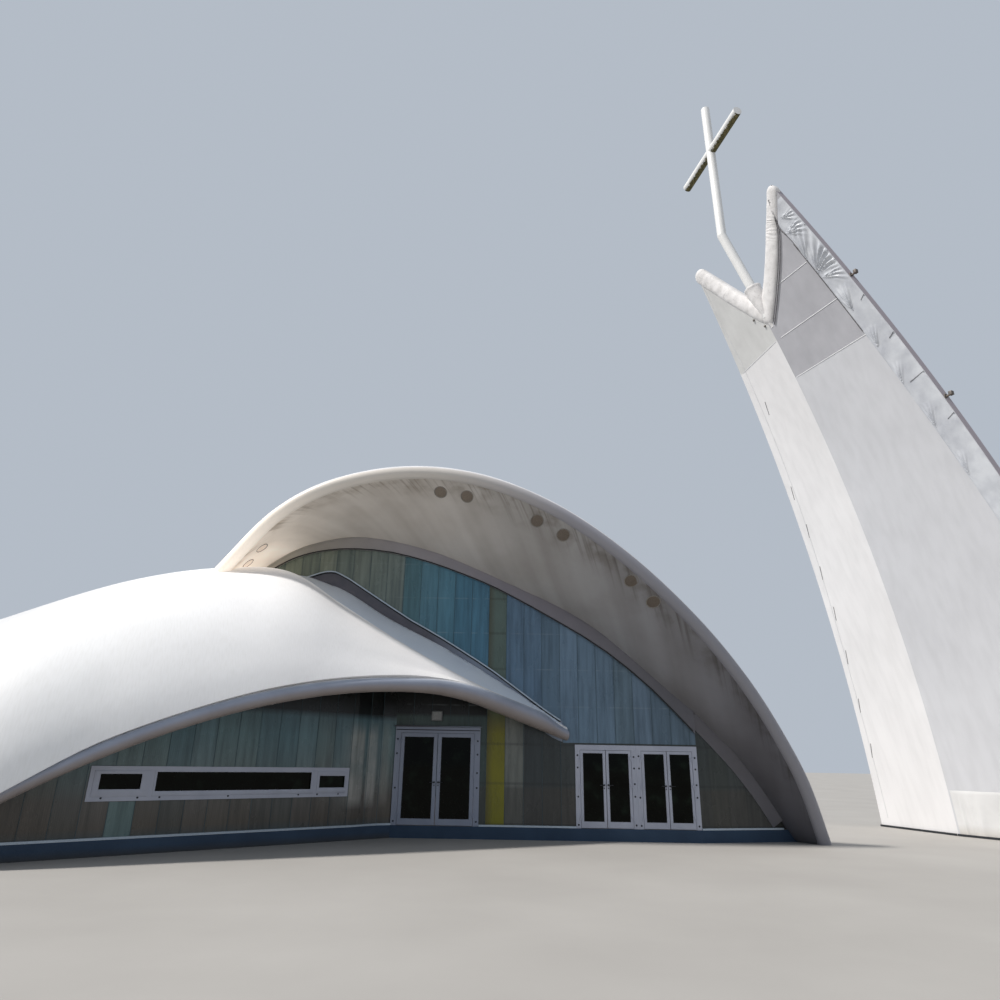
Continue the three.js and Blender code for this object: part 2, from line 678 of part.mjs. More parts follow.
function addWindow() {
  const start = WINDOW.from + 2 * GAP;
  const end = WINDOW.to - GAP;
  const outside = -WINDOW_PROUD;
  const inside = outside + WINDOW_DEPTH;
  const [sill, head] = [WINDOW.low + WINDOW_BORDER, WINDOW.high - WINDOW_BORDER];
  let frame = solid(alongWing(block(start, end, outside, inside, WINDOW.low, WINDOW.high)));
  const posts = WINDOW_POSTS.flatMap((x) => [start + x - WINDOW_POST / 2, start + x + WINDOW_POST / 2]);
  const edges = [start + WINDOW_BORDER, ...posts, end - WINDOW_BORDER];
  for (let k = 0; k < edges.length; k += 2) {
    const hole = block(edges[k], edges[k + 1], 2 * outside, 2 * inside, sill, head);
    frame = frame.subtract(solid(alongWing(hole)));
  }
  const lap = WINDOW_BORDER - WINDOW_REBATE;
  const pane = (grow, back) => block(
    start + lap - grow, end - lap + grow, inside - PANE_DEPTH - WINDOW_REBATE - grow, back,
    WINDOW.low + lap - grow, WINDOW.high - lap + grow,
  );
  place('strip_window_frame', shape(frame.subtract(solid(alongWing(pane(GAP, 2 * inside))))), 'frame');
  place('strip_window_glass', alongWing(pane(0, inside - WINDOW_REBATE)), 'glass');
}

// Doors: a frame set in the wall and two leaves that swing outwards on barrel hinges.
function addDoor({ name, from, to, height, border, stile }) {
  const top = FLOOR_TOP + height;
  const outline = [
    [from + 2 * GAP, FLOOR_TOP + GAP], [from + border, FLOOR_TOP + GAP], [from + border, top - border],
    [to - border, top - border], [to - border, FLOOR_TOP + GAP], [to - GAP, FLOOR_TOP + GAP],
    [to - GAP, top], [from + 2 * GAP, top],
  ];
  const jambs = [[from + border, 1], [to - border, -1]];
  const middle = (from + to) / 2;
  const heights = [FLOOR_TOP + HINGE_LOW, FLOOR_TOP + height / 2, top - border - HINGE_HIGH];
  let frame = solid(upright(outline, WALL_Y - FRAME_PROUD, FRAME_DEPTH));
  jambs.forEach(([jamb, way], k) => {
    const axis = jamb + (way * SIDE_GAP) / 2;
    heights.forEach((z) => {
      frame = frame.add(hingeHalf(axis, -way, z - KNUCKLE - GAP, FRAME_PROUD));
    });
    const ends = [jamb + way * SIDE_GAP, middle - (way * MEETING_GAP) / 2].sort((a, b) => a - b);
    const side = `${name}_${k === 0 ? 'left' : 'right'}`;
    const leaf = addLeaf(side, ends, top - border, stile);
    const hung = heights.reduce((body, z) => body.add(hingeHalf(axis, way, z, LEAF_PROUD)), leaf);
    place(`${side}_leaf`, shape(hung), 'frame');
  });
  place(`${name}_frame`, shape(frame), 'frame');
}

// Half of a hinge: a knuckle on the axis and the plate that joins it to its jamb or leaf.
function hingeHalf(axis, way, low, proud) {
  const knuckle = new THREE.CylinderGeometry(HINGE_RADIUS, HINGE_RADIUS, KNUCKLE, 10);
  knuckle.rotateX(Math.PI / 2);
  knuckle.translate(axis, WALL_Y - HINGE_PROUD, low + KNUCKLE / 2);
  const [x0, x1] = [axis, axis + way * HINGE_LEAF].sort((a, b) => a - b);
  const plate = block(x0, x1, WALL_Y - HINGE_PROUD - 5, WALL_Y - proud + 1, low, low + KNUCKLE);
  return solid(knuckle).add(solid(plate));
}

function addLeaf(name, [from, to], head, stile) {
  const low = FLOOR_TOP + SILL_GAP;
  const high = head - SIDE_GAP;
  const y = WALL_Y - LEAF_PROUD;
  const pane = [[from + stile, low + LEAF_RAIL], [to - stile, low + LEAF_RAIL],
    [to - stile, high - stile], [from + stile, high - stile]];
  const hole = upright(pane, y - 10, LEAF_DEPTH + 20);
  const inset = pane.map(([x, z]) => [
    x + Math.sign(middleOf(pane, 0) - x) * GAP, z + Math.sign(middleOf(pane, 1) - z) * GAP,
  ]);
  place(`${name}_glass`, upright(inset, y + (LEAF_DEPTH - PANE_DEPTH) / 2, PANE_DEPTH), 'glass');
  return solid(block(from, to, y, y + LEAF_DEPTH, low, high)).subtract(solid(hole));
}

function middleOf(points, axis) {
  return points.reduce((sum, point) => sum + point[axis], 0) / points.length;
}

function addLightBox() {
  const { from, to, low, high, proud } = LIGHT_BOX;
  place('door_light_box', block(from, to, WALL_Y - proud, WALL_Y - GAP, low, high), 'lamp');
}

// Floors: the hall's slab and the wing's slab, which is also the plinth of its slanted wall.
function addFloors() {
  const front = WALL_Y - PLINTH_PROUD;
  const end = RIM_CENTRE + WALL_TURN_REACH / 3;
  const drawn = front + (end - WALL_TURN_X) * WALL_TURN_SLOPE;
  const left = DOORS[0].from;
  const hall = [
    [left, front], [WALL_TURN_X, front], [end, drawn], [end, -drawn], [WALL_TURN_X, -front],
    [-WALL_TURN_X, -front], [-end, -drawn], [-end, front],
  ];
  place('hall_floor', shape(largest(solid(slab(hall, 0, FLOOR_TOP)).intersect(underRoof))), 'concrete');
  const across = new THREE.Vector2(wallRun.y, -wallRun.x).normalize().multiplyScalar(PLINTH_PROUD);
  const proud = (p) => [p.x + across.x, p.y + across.y];
  const [west, south, back] = [WING_TIP[0], WING_LEFT.y, front - GAP];
  const room = [proud(WING_WALL_START), proud(WING_WALL_END), [left, back], [west, back], [west, south]];
  const beside = [[west, back - 1], [-WALL_TURN_X, back - 1], [-WALL_TURN_X, 0], [west, 0]];
  const hallRoom = hallOutside.intersect(solid(block(-FAR, FAR, back, FAR, UNDERGROUND / 2, FAR)));
  const slabs = solid(slab(room, 0, FLOOR_TOP)).add(solid(slab(beside, 0, FLOOR_TOP)).subtract(hallRoom));
  place('wing_floor', shape(largest(slabs.intersect(wingClear).subtract(roofCut).subtract(rimClear))), 'plinth');
}

// Tower: two tall faces that meet at a shallow fold and lean towards the church.
const LEFT_FACE = { way: new THREE.Vector3(-0.194, 0.981, 0), width: leftWidth, peak: TOWER_LEFT_PEAK };
const RIGHT_FACE = { way: new THREE.Vector3(0.38, -0.925, 0), width: rightWidth, peak: TOWER_RIGHT_PEAK };
const AWAY = new THREE.Vector3(0.96, 0.28, 0);

function foldAt(z) {
  return new THREE.Vector3(15286 - 0.1395 * z - 0.00000889 * z * z, -4624 - 0.1375 * z, z);
}

function leftWidth(z) {
  return 3350 - 0.0077 * z - 0.00000304 * z * z;
}

function rightWidth(z) {
  return 6430 - 0.1855 * z - 0.0000002 * z * z;
}

function towerFace({ way, width, peak }, gap) {
  const front = [];
  const back = [];
  for (let i = 0; i <= TOWER_ROWS; i += 1) {
    const faceRow = [];
    const backRow = [];
    for (let j = 0; j <= TOWER_COLUMNS; j += 1) {
      const part = j / TOWER_COLUMNS;
      const z = (i / TOWER_ROWS) * THREE.MathUtils.lerp(TOWER_VALLEY, peak, part);
      const spot = foldAt(z).addScaledVector(way, gap + (width(z) - gap) * part);
      const thick = THREE.MathUtils.lerp(TOWER_FOLD, TOWER_EDGE, part);
      faceRow.push(spot);
      backRow.push(spot.clone().addScaledVector(AWAY, thick));
    }
    front.push(faceRow);
    back.push(backRow);
  }
  return skin(front, back);
}

function addTower() {
  place('tower_left_face', towerFace(LEFT_FACE, GAP), 'membrane');
  place('tower_right_face', towerFace(RIGHT_FACE, GAP), 'membrane');
}

// The cross: a bent pole that rises from the fold, and a level bar parallel to the tower.
const POLE = [[10560, -6950, 16800], [9250, -6930, 20310], [9140, -6930, 26520]];
const KNEE_LAP = 60;
const BAR_MIDDLE = new THREE.Vector3(9180, -6930, 24340);
const BAR_WAY = new THREE.Vector3(0.225, -0.974, 0);
const BAR_HALF = 1950;

function addCross() {
  const [foot, knee, top] = POLE.map((p) => new THREE.Vector3(...p));
  const lower = solid(tube(new THREE.LineCurve3(foot, knee), CROSS_RADIUS, 1));
  const start = knee.clone().setZ(knee.z - KNEE_LAP);
  const upper = solid(tube(new THREE.LineCurve3(start, top), CROSS_RADIUS, 1));
  const faces = solid(towerFace(LEFT_FACE, 0)).add(solid(towerFace(RIGHT_FACE, 0)));
  const pole = largest(lower.add(upper).subtract(faces));
  const from = BAR_MIDDLE.clone().addScaledVector(BAR_WAY, -BAR_HALF);
  const to = BAR_MIDDLE.clone().addScaledVector(BAR_WAY, BAR_HALF);
  const bar = solid(tube(new THREE.LineCurve3(from, to), CROSS_RADIUS, 1));
  place('cross', shape(pole.add(bar)), 'cross');
}

addFloors();
addRoof();
addRims();
addFrontWall();
addBackWall();
addBands();
addFlashing();
addWing();
addWingWall();
addWindow();
DOORS.forEach(addDoor);
addLightBox();
addTower();
addCross();

export default church;
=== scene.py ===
import math
import bmesh
import bpy
from mathutils import Matrix, Vector, noise
from mathutils.bvhtree import BVHTree


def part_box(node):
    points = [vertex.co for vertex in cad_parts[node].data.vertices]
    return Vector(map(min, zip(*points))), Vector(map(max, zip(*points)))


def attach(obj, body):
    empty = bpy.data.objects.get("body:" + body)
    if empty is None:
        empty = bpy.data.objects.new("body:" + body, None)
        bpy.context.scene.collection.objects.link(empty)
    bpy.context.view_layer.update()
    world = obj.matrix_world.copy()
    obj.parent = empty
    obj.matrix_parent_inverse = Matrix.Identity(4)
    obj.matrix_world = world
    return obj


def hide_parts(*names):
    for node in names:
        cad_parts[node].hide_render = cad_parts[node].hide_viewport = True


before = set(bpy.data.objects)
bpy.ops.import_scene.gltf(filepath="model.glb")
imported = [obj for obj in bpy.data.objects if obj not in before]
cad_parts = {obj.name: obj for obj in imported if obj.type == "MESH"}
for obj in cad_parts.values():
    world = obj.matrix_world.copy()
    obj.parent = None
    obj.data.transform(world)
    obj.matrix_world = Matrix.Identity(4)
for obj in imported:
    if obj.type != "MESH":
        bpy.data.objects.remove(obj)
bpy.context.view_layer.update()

# The view: an eye in front of the church, looking a little upwards through a wide lens that is
# held one degree off level. All of it is seen in perspective from about 20 m away.
eye = Vector((1.2, -28.33, 1.905))
look_up = math.radians(20.105)
held_askew = math.radians(1.0)
lens = bpy.data.cameras.new("wide_lens")
lens.lens, lens.sensor_width, lens.clip_end = 25.67, 36, 500
camera = bpy.data.objects.new("camera", lens)
bpy.context.scene.collection.objects.link(camera)
turned = Matrix.Rotation(math.pi / 2 + look_up, 4, "X") @ Matrix.Rotation(held_askew, 4, "Z")
camera.matrix_world = Matrix.Translation(eye) @ turned
bpy.context.scene.camera = camera

# The light: a broad soft sun high at the left, just in front of the glazing's line, and an even
# pale sky all round, so that the front is in open shade and the wing's roof is bright.
to_sun = Vector((-0.66, -0.22, 0.72))
sun = bpy.data.lights.new("soft_sun", "SUN")
sun.energy, sun.angle, sun.color = 4.3, math.radians(5), (1.0, 0.96, 0.91)
lamp = bpy.data.objects.new("soft_sun", sun)
lamp.rotation_euler = to_sun.to_track_quat("Z", "Y").to_euler()
bpy.context.scene.collection.objects.link(lamp)
sky = bpy.data.worlds.new("pale_sky")
sky.use_nodes = True
sky.node_tree.nodes["Background"].inputs["Color"].default_value = (0.76, 0.84, 0.95, 1)
sky.node_tree.nodes["Background"].inputs["Strength"].default_value = 0.6
bpy.context.scene.world = sky
bpy.context.scene.view_settings.view_transform = "Standard"


# The pale floor is only where the building stands. It isn't part of it, and is plain so that it
# shows nothing but the shadows.
floor_reach = 220.0


def tint(red, green, blue):
    """A colour given as on a paint card, from 0 to 255, as the light it returns, and opaque."""
    shares = [value / 255 for value in (red, green, blue)]
    return (*(c / 12.92 if c < 0.04045 else ((c + 0.055) / 1.055) ** 2.4 for c in shares), 1)


def give(finish, socket, value):
    """Leads what another node gives into a socket, or else sets its number or colour."""
    if isinstance(value, bpy.types.NodeSocket):
        finish.node_tree.links.new(value, socket)
    else:
        socket.default_value = value


def add(finish, kind, sockets, gives=0, **settings):
    """A node in a finish: what goes into its sockets, and which of its results it gives."""
    node = finish.node_tree.nodes.new("ShaderNode" + kind)
    for key, value in settings.items():
        setattr(node, key, value)
    for key, value in sockets.items():
        give(finish, node.inputs[key], value)
    return node.outputs[gives]


def new_finish(name, roughness, metallic=0.0, specular=0.5):
    finish = bpy.data.materials.new(name)
    finish.use_nodes = True
    shader = finish.node_tree.nodes["Principled BSDF"].inputs
    for key, value in (("Roughness", roughness), ("Metallic", metallic), ("Specular IOR Level", specular)):
        shader[key].default_value = value
    return finish


def set_look(finish, colour, rough=None, height=None, depth=0.01):
    """Leads a colour, a roughness and a surface height into the finish's shader. A roughness
    may be given as a cloud and the low and high value that it goes between."""
    shader = finish.node_tree.nodes["Principled BSDF"].inputs
    give(finish, shader["Base Color"], colour)
    if isinstance(rough, tuple):
        rough = ranged(finish, rough[0], 0.3, 0.7, *rough[1:])
    if rough:
        give(finish, shader["Roughness"], rough)
    if height:
        give(finish, shader["Normal"], add(finish, "Bump", {"Height": height, "Distance": depth}))


def mottle(finish, size, detail=4.0, stretch=(1, 1, 1), where=None):
    """Cloudy variation with patches of about that size in metres, from 0 to 1."""
    where = where or add(finish, "TexCoord", {}, "Object")
    placed = add(finish, "Mapping", {"Vector": where, "Scale": stretch})
    return add(finish, "TexNoise", {"Vector": placed, "Scale": 1 / size, "Detail": detail}, "Fac")


def banded(finish, share, stops, steps="LINEAR"):
    """What a band gives along a share from 0 to 1, each stop a place and a colour."""
    node = finish.node_tree.nodes.new("ShaderNodeValToRGB")
    give(finish, node.inputs["Fac"], share)
    band = node.color_ramp
    band.interpolation = steps
    band.elements[0].position, band.elements[1].position = stops[0][0], stops[-1][0]
    band.elements[0].color, band.elements[1].color = stops[0][1], stops[-1][1]
    for place, colour in stops[1:-1]:
        band.elements.new(place).color = colour
    return node.outputs["Color"]


def graded(finish, share, *stops, steps="LINEAR"):
    """Paint colours along a share, each stop its place and its red, green and blue."""
    return banded(finish, share, [(place, tint(*colour)) for place, *colour in stops], steps)


def new_piece(name, body, *finishes, crease=32):
    """A finished piece at the origin, smooth where its faces meet at less than the crease angle."""
    if body.calc_volume(signed=True) < 0:
        bmesh.ops.reverse_faces(body, faces=body.faces[:])
    mesh = bpy.data.meshes.new(name)
    body.to_mesh(mesh)
    body.free()
    for face in mesh.polygons:
        face.use_smooth = True
    mesh.set_sharp_from_angle(angle=math.radians(crease))
    for finish in finishes:
        mesh.materials.append(finish)
    piece = bpy.data.objects.new(name, mesh)
    bpy.context.scene.collection.objects.link(piece)
    return piece


ground = bmesh.new()
bmesh.ops.create_grid(ground, x_segments=1, y_segments=1, size=floor_reach)
floor_finish = new_finish("pale_floor", 0.9, specular=0.2)
set_look(floor_finish, graded(floor_finish, mottle(floor_finish, 3.0), (0.3, 158, 155, 151),
                              (0.7, 165, 162, 158)))
new_piece("pale_floor", ground, floor_finish)


# The hall's floor is one power-floated concrete slab, and the wing's slab shows its edge as a
# plinth of dark blue-grey render. Both stand on the ground and carry the walls.
plinth_tones = (0.3, 36, 56, 78), (0.7, 48, 69, 92)
white = (255, 255, 255)


def ranged(finish, value, low, high, to_low=0.0, to_high=1.0):
    """A value taken from the range low to high over to another range, and held at its ends."""
    return add(finish, "MapRange", {"Value": value, "From Min": low, "From Max": high, "To Min": to_low,
                                    "To Max": to_high})


def worked(finish, way, first, second=0.0):
    """One step of reckoning on numbers, such as MULTIPLY."""
    return add(finish, "Math", {0: first, 1: second}, operation=way)


def mixed(finish, share, first, second, way="MIX"):
    """Two colours mixed, or one laid over the other in the given way."""
    return add(finish, "Mix", {0: share, 6: first, 7: second}, 2, data_type="RGBA", blend_type=way)


def stained(finish, look, share, pattern, *stops):
    """A colour darkened by a part of the bands that follow a pattern."""
    return mixed(finish, share, look, graded(finish, pattern, *stops), "MULTIPLY")


def axis(finish, name, where=None):
    """Where a point of the piece lies along one axis, in metres."""
    return add(finish, "SeparateXYZ", {"Vector": where or add(finish, "TexCoord", {}, "Object")}, name)


def facing(finish, way):
    """How squarely the surface faces that way, from -1 to 1."""
    normal = add(finish, "NewGeometry", {}, "Normal")
    return add(finish, "VectorMath", {0: normal, 1: way}, "Value", operation="DOT_PRODUCT")


def wear(finish, *nodes):
    for node in nodes:
        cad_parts[node].data.materials.clear()
        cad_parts[node].data.materials.append(finish)


concrete = new_finish("floated_concrete", 0.8)
pores = mottle(concrete, 0.02, 8)
cast = graded(concrete, mottle(concrete, 0.9, 8), (0.3, 134, 133, 130), (0.7, 160, 158, 154))
cast = stained(concrete, cast, 0.3, pores, (0.35, 104, 104, 102), (0.5, *white))
edge = graded(concrete, mottle(concrete, 0.8, 6), *plinth_tones)
on_top = worked(concrete, "GREATER_THAN", facing(concrete, (0, 0, 1)), 0.5)
set_look(concrete, mixed(concrete, on_top, edge, cast), (pores, 0.7, 0.92), pores, 0.004)
plinth_render = new_finish("blue_grey_render", 0.7)
grit = mottle(plinth_render, 0.015, 6)
# The render is darker towards the bottom.
darker_at_foot = ranged(plinth_render, axis(plinth_render, "Z"), 0.0, 0.16)
clean = graded(plinth_render, mottle(plinth_render, 0.8, 6), *plinth_tones)
set_look(plinth_render, mixed(plinth_render, darker_at_foot, tint(52, 54, 56), clean), (grit, 0.55, 0.85), grit,
         0.005)
wear(concrete, "hall_floor")
wear(plinth_render, "wing_floor")


# The main roof is a saddle of white coated membrane, stretched over steel from a leaning arch at
# the front, over the glazed wall and the low middle of the hall, to the same arch at the back.
# Its underside, the soffit, is the same cloth, seamed across and stained by the weather. Over the
# stains its colour carries painted light and shade: warm and bright at the left, where it also
# glows with painted light, and greyer and darker towards the right, in painted shade.
floor_top = 0.3
wall_face = -8.0
roof_thick = 0.3
rim_radius, rim_foot, rim_lean, rim_centre = 0.17, -7.865, 0.35, 9.0
rim_outline = [
    (-9.8, 0), (-9.25, 2.25), (-8, 4.55), (-5.97, 6.8), (-4.69, 8.03), (-3.4, 8.72), (-1.44, 9.13),
    (0.53, 9.01), (2.51, 8.35), (4.5, 7.15), (6.49, 5.45), (7.83, 3.95), (8.77, 2.6), (9.41, 1.48), (10, 0),
]
wall_outline = [
    (-9.45, 0), (-8.95, 2.3), (-7.9, 4.55), (-6.5, 6.5), (-5.12, 7.64), (-4.15, 8.03), (-2.92, 8.2),
    (-0.83, 7.815), (1.53, 6.87), (3.82, 5.72), (6.2, 3.75), (8.05, 1.98), (9.45, 0),
]
middle_outline = [
    (-9.1, 0), (-8.6, 2.1), (-7.65, 4.15), (-6.4, 5.8), (-5.2, 6.78), (-4.2, 7.25), (-2.9, 7.39),
    (-0.9, 7.08), (1.35, 6.18), (3.6, 4.98), (5.9, 3.25), (7.75, 1.6), (9.1, 0),
]
wall_turn, wall_turn_slope = 6.6, 0.28
roof_rows, roof_columns = 150, 64
seam_bays, seam_slack = 15, 0.012


def flowing(points, share):
    """A point on the smooth line through the points, from 0 at the first to 1 at the last."""
    run = (len(points) - 1) * share
    at = min(int(run), len(points) - 2)
    part = run - at
    start, end = points[at], points[at + 1]
    before = points[at - 1] if at > 0 else start * 2 - end
    after = points[at + 2] if at + 2 < len(points) else end * 2 - start
    pairs = ((before, start), (start, end), (end, after))
    gap_in, gap, gap_out = [max(math.sqrt((b - a).length), 1e-3) for a, b in pairs]
    leave = ((start - before) / gap_in - (end - before) / (gap_in + gap) + (end - start) / gap) * gap
    arrive = ((end - start) / gap - (after - start) / (gap + gap_out) + (after - end) / gap_out) * gap
    square, cube = part * part, part ** 3
    return (start * (2 * cube - 3 * square + 1) + leave * (cube - 2 * square + part)
            + end * (3 * square - 2 * cube) + arrive * (cube - square))


def on_rim(x, z, back=1):
    inwards = 1 - rim_radius / rim_centre
    return Vector((x * inwards, back * (rim_foot - rim_lean * z * inwards), z * inwards))


def wall_at(x):
    """The glazed wall's face, which turns back a little towards its two ends."""
    return wall_face + wall_turn_slope * max(abs(x) - wall_turn, 0)


rim_line = [on_rim(x, z) for x, z in rim_outline]
wall_line = [Vector((x, wall_at(x), z)) for x, z in wall_outline]
middle_line = [Vector((x, 0, z)) for x, z in middle_outline]


def roof_point(along, across):
    """A point midway in the roof's thickness, from the front rim, 0, to the back rim, 1."""
    edge, wall, middle = [flowing(line, along) for line in (rim_line, wall_line, middle_line)]
    way = (flowing(rim_line, min(along + 0.03, 1)) - flowing(rim_line, max(along - 0.03, 0))).normalized()
    reach = wall - edge
    clear = (reach - way * reach.dot(way)).length
    start = edge.lerp(wall, 0.4 * rim_radius / clear)
    far_wall, far_start = [Vector((p.x, -p.y, p.z)) for p in (wall, start)]
    return flowing([start, wall, middle, far_wall, far_start], across)


def lifted(grid, i, j, distance):
    """The point i, j of a grid of points, moved along the surface's normal but never off the ground."""
    along = grid[min(i + 1, len(grid) - 1)][j] - grid[max(i - 1, 0)][j]
    across = grid[i][min(j + 1, len(grid[0]) - 1)] - grid[i][max(j - 1, 0)]
    normal = along.cross(across)
    normal = normal.normalized() if normal.length > 1e-9 else Vector((-1, 0, 0))
    spot = grid[i][j] + normal * distance
    if grid[i][j].z < 0.001:
        spot.z = 0
    return spot


def verts_in(geometry):
    return [v for v in geometry if isinstance(v, bmesh.types.BMVert)]


def raise_faces(body, height):
    """Raises flat faces to a solid of that height."""
    grown = bmesh.ops.extrude_face_region(body, geom=body.faces[:], use_keep_orig=True)["geom"]
    bmesh.ops.translate(body, verts=verts_in(grown), vec=(0, 0, height))


def raised_sheet(rows, columns):
    """A sheet of squares, one unit each way and raised by one, to be drawn onto its shape. It keeps
    how far along and across each point lies."""
    sheet = bmesh.new()
    kept = sheet.loops.layers.uv.new("along_and_across")
    bmesh.ops.create_grid(sheet, x_segments=rows, y_segments=columns, size=0.5)
    raise_faces(sheet, 1)
    for face in sheet.faces:
        for loop in face.loops:
            loop[kept].uv = (loop.vert.co.x + 0.5, loop.vert.co.y + 0.5)
    return sheet


def melt_doubles(body, reach):
    bmesh.ops.remove_doubles(body, verts=body.verts[:], dist=reach)
    bmesh.ops.dissolve_degenerate(body, edges=body.edges[:], dist=reach)


def lofted_shell(grid, thick, relief):
    """A raised sheet, drawn as a shell onto the grid of points. Its lower faces wear the second
    finish, and relief gives how far a point of either face is pushed outwards."""
    rows, columns = len(grid) - 1, len(grid[0]) - 1
    shell = raised_sheet(rows, columns)
    bmesh.ops.recalc_face_normals(shell, faces=shell.faces[:])
    for face in shell.faces:
        face.material_index = 1 if face.calc_center_median().z < 0.1 else 0
    for vert in shell.verts:
        along, across = vert.co.x + 0.5, vert.co.y + 0.5
        upper = vert.co.z > 0.5
        half = thick / 2 + relief(along, across, upper)
        vert.co = lifted(grid, round(along * rows), round(across * columns), half if upper else -half)
    melt_doubles(shell, 0.002)
    return shell


def settle(piece, body="building", stands_for=()):
    """Says what a piece moves with and which CAD nodes it shows in their place, and hides those nodes."""
    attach(piece, body)
    if stands_for:
        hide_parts(*stands_for)
    return piece


def make_piece(name, slot, made, *finishes, body="building", stands_for=(), crease=32):
    return settle(new_piece(name, made, *finishes, crease=crease), body, stands_for)


def on_shell(finish):
    """How far along and across its shell a point of the piece lies."""
    return add(finish, "UVMap", {}, uv_map="along_and_across")


def measured(finish, share, stops):
    """Plain strengths along a share, each stop its place and its strength."""
    return banded(finish, share, [(place, (part, part, part, 1)) for place, part in stops])


def painted_glow(finish, colour, share, stops):
    """Painted light: the surface glows with as much of the colour as the stops give, standing in for
    daylight that falls through and onto it.
    """
    shader = finish.node_tree.nodes["Principled BSDF"].inputs
    give(finish, shader["Emission Color"], colour)
    give(finish, shader["Emission Strength"], measured(finish, share, stops))


roof_top = new_finish("white_roof_membrane", 0.5, specular=0.3)
dust = mottle(roof_top, 1.6, 9)
washed = mottle(roof_top, 0.02, 3, (60, 2.5, 1), on_shell(roof_top))
cast = graded(roof_top, dust, (0.25, 216, 215, 211), (0.65, 230, 230, 228))
cast = stained(roof_top, cast, 0.25, washed, (0.3, 214, 212, 206), (0.6, *white))
set_look(roof_top, cast, (dust, 0.42, 0.6), mottle(roof_top, 0.5, 2), 0.02)

arch_from, arch_to = -8.0, 9.0
# Painted light and shade along the arch, from left to right: warm and pale where daylight falls through and
# onto the cloth, grey and dark where it lies in shade.
painted_light_stops = [(0.0, 240, 228, 213), (0.14, 232, 220, 206), (0.26, 206, 199, 190), (0.45, 202, 197, 191),
             (0.6, 174, 172, 170), (0.76, 152, 152, 155), (0.94, 106, 106, 112), (1.0, 96, 96, 102)]
glow_stops = [(0.0, 0.6), (0.11, 0.6), (0.165, 0.46), (0.22, 0.2), (0.3, 0.06), (0.41, 0.02), (0.53, 0.0)]
soffit = new_finish("stained_soffit_with_painted_light", 0.62, specular=0.2)
x_of, y_of = axis(soffit, "X"), axis(soffit, "Y")
arch_run = ranged(soffit, x_of, arch_from, arch_to)
past_wall = worked(soffit, "SUBTRACT", worked(soffit, "ABSOLUTE", y_of), -wall_face)
drawn_by = worked(soffit, "ADD", x_of, worked(soffit, "MULTIPLY", past_wall, 0.5))
pull = add(soffit, "CombineXYZ", {"X": drawn_by, "Y": worked(soffit, "MULTIPLY", y_of, 0.05)})
near_rim = worked(soffit, "PINGPONG", axis(soffit, "Y", on_shell(soffit)), 0.5)
rim_ward = ranged(soffit, near_rim, 0.01, 0.075, 0.6, 0.0)
look = graded(soffit, arch_run, *painted_light_stops)
for share, pattern, *stops in (
        (0.3, mottle(soffit, 0.7, 2, where=pull), (0.34, 190, 184, 178), (0.62, *white)),
        (0.35, mottle(soffit, 1.3, 5), (0.3, 206, 200, 194), (0.58, *white)),
        (rim_ward, mottle(soffit, 0.5, 4), (0.36, 192, 184, 174), (0.54, *white)),
        (rim_ward, mottle(soffit, 0.11, 3, where=pull), (0.32, 166, 157, 146), (0.5, *white))):
    look = stained(soffit, look, share, pattern, *stops)
set_look(soffit, look, (mottle(soffit, 0.4, 5), 0.5, 0.75), mottle(soffit, 0.5, 2), 0.012)
# Painted light: the soffit glows at the left, standing in for sunlight through the cloth and light bounced
# up onto it.
painted_glow(soffit, look, arch_run, glow_stops)

# Each crease starts at the rim: how far along the arch, how far it runs inwards, its lean along
# the arch as it runs, its width and its depth.
creases = [
    (0.5245, 0.05, 0.006, 0.0022, 0.014), (0.519, 0.035, -0.004, 0.0016, 0.01),
    (0.531, 0.03, 0.003, 0.0016, 0.009), (0.629, 0.05, 0.008, 0.0024, 0.014),
    (0.622, 0.04, 0.004, 0.0018, 0.01), (0.636, 0.035, 0.006, 0.0018, 0.012),
    (0.585, 0.028, 0.002, 0.0016, 0.007), (0.665, 0.04, 0.004, 0.002, 0.01),
    (0.455, 0.03, -0.003, 0.0018, 0.006),
]


def soffit_relief(along, across, upper):
    """The cloth hangs a little slack between its seams and creases where it is drawn to the rim."""
    if upper:
        return 0.0
    near = min(across, 1 - across)
    slack = seam_slack * math.sin(math.pi * min(near / 0.25, 1))
    slack *= math.sin(along * seam_bays * math.pi) ** 2
    pulled = 0.0
    for place, run, lean, width, depth in creases:
        off = along - place - lean * near / run
        pulled += depth * math.exp(-(off / width) ** 2) * max(1 - near / run, 0)
    return pulled - slack


roof_nodes = ["roof_left_foot", "roof_left_shoulder", "roof_crown", "roof_right_shoulder",
              "roof_right_foot"]


def roof_grid(rows, columns):
    return [[roof_point(i / rows, j / columns) for j in range(columns + 1)] for i in range(rows + 1)]


roof_shell = lofted_shell(roof_grid(roof_rows, roof_columns), roof_thick, soffit_relief)
make_piece("main_roof_membrane", "membrane", roof_shell, roof_top, soffit, stands_for=roof_nodes)


# The rims are round steel arches wrapped in smooth white coated sheet, one at the front and one
# at the back. They lean outwards and stand on the ground at both feet.
rim_sides, rim_steps, rim_root = 28, 150, 0.4


def swept(places, sides, radius=1, turn=0):
    """A ring of corners drawn through the given places, and closed at both ends."""
    body = bmesh.new()
    first = places[0] @ Matrix.Rotation(turn, 4, "Z")
    bmesh.ops.create_circle(body, segments=sides, radius=radius, matrix=first)
    edges = body.edges[:]
    bmesh.ops.contextual_create(body, geom=edges)
    for before, after in zip(places, places[1:]):
        grown = bmesh.ops.extrude_edge_only(body, edges=edges)["geom"]
        ring = set(verts_in(grown))
        edges = [e for e in grown if isinstance(e, bmesh.types.BMEdge) and ring.issuperset(e.verts)]
        bmesh.ops.transform(body, matrix=after @ before.inverted(), verts=list(ring))
    bmesh.ops.contextual_create(body, geom=edges)
    bmesh.ops.recalc_face_normals(body, faces=body.faces[:])
    return body


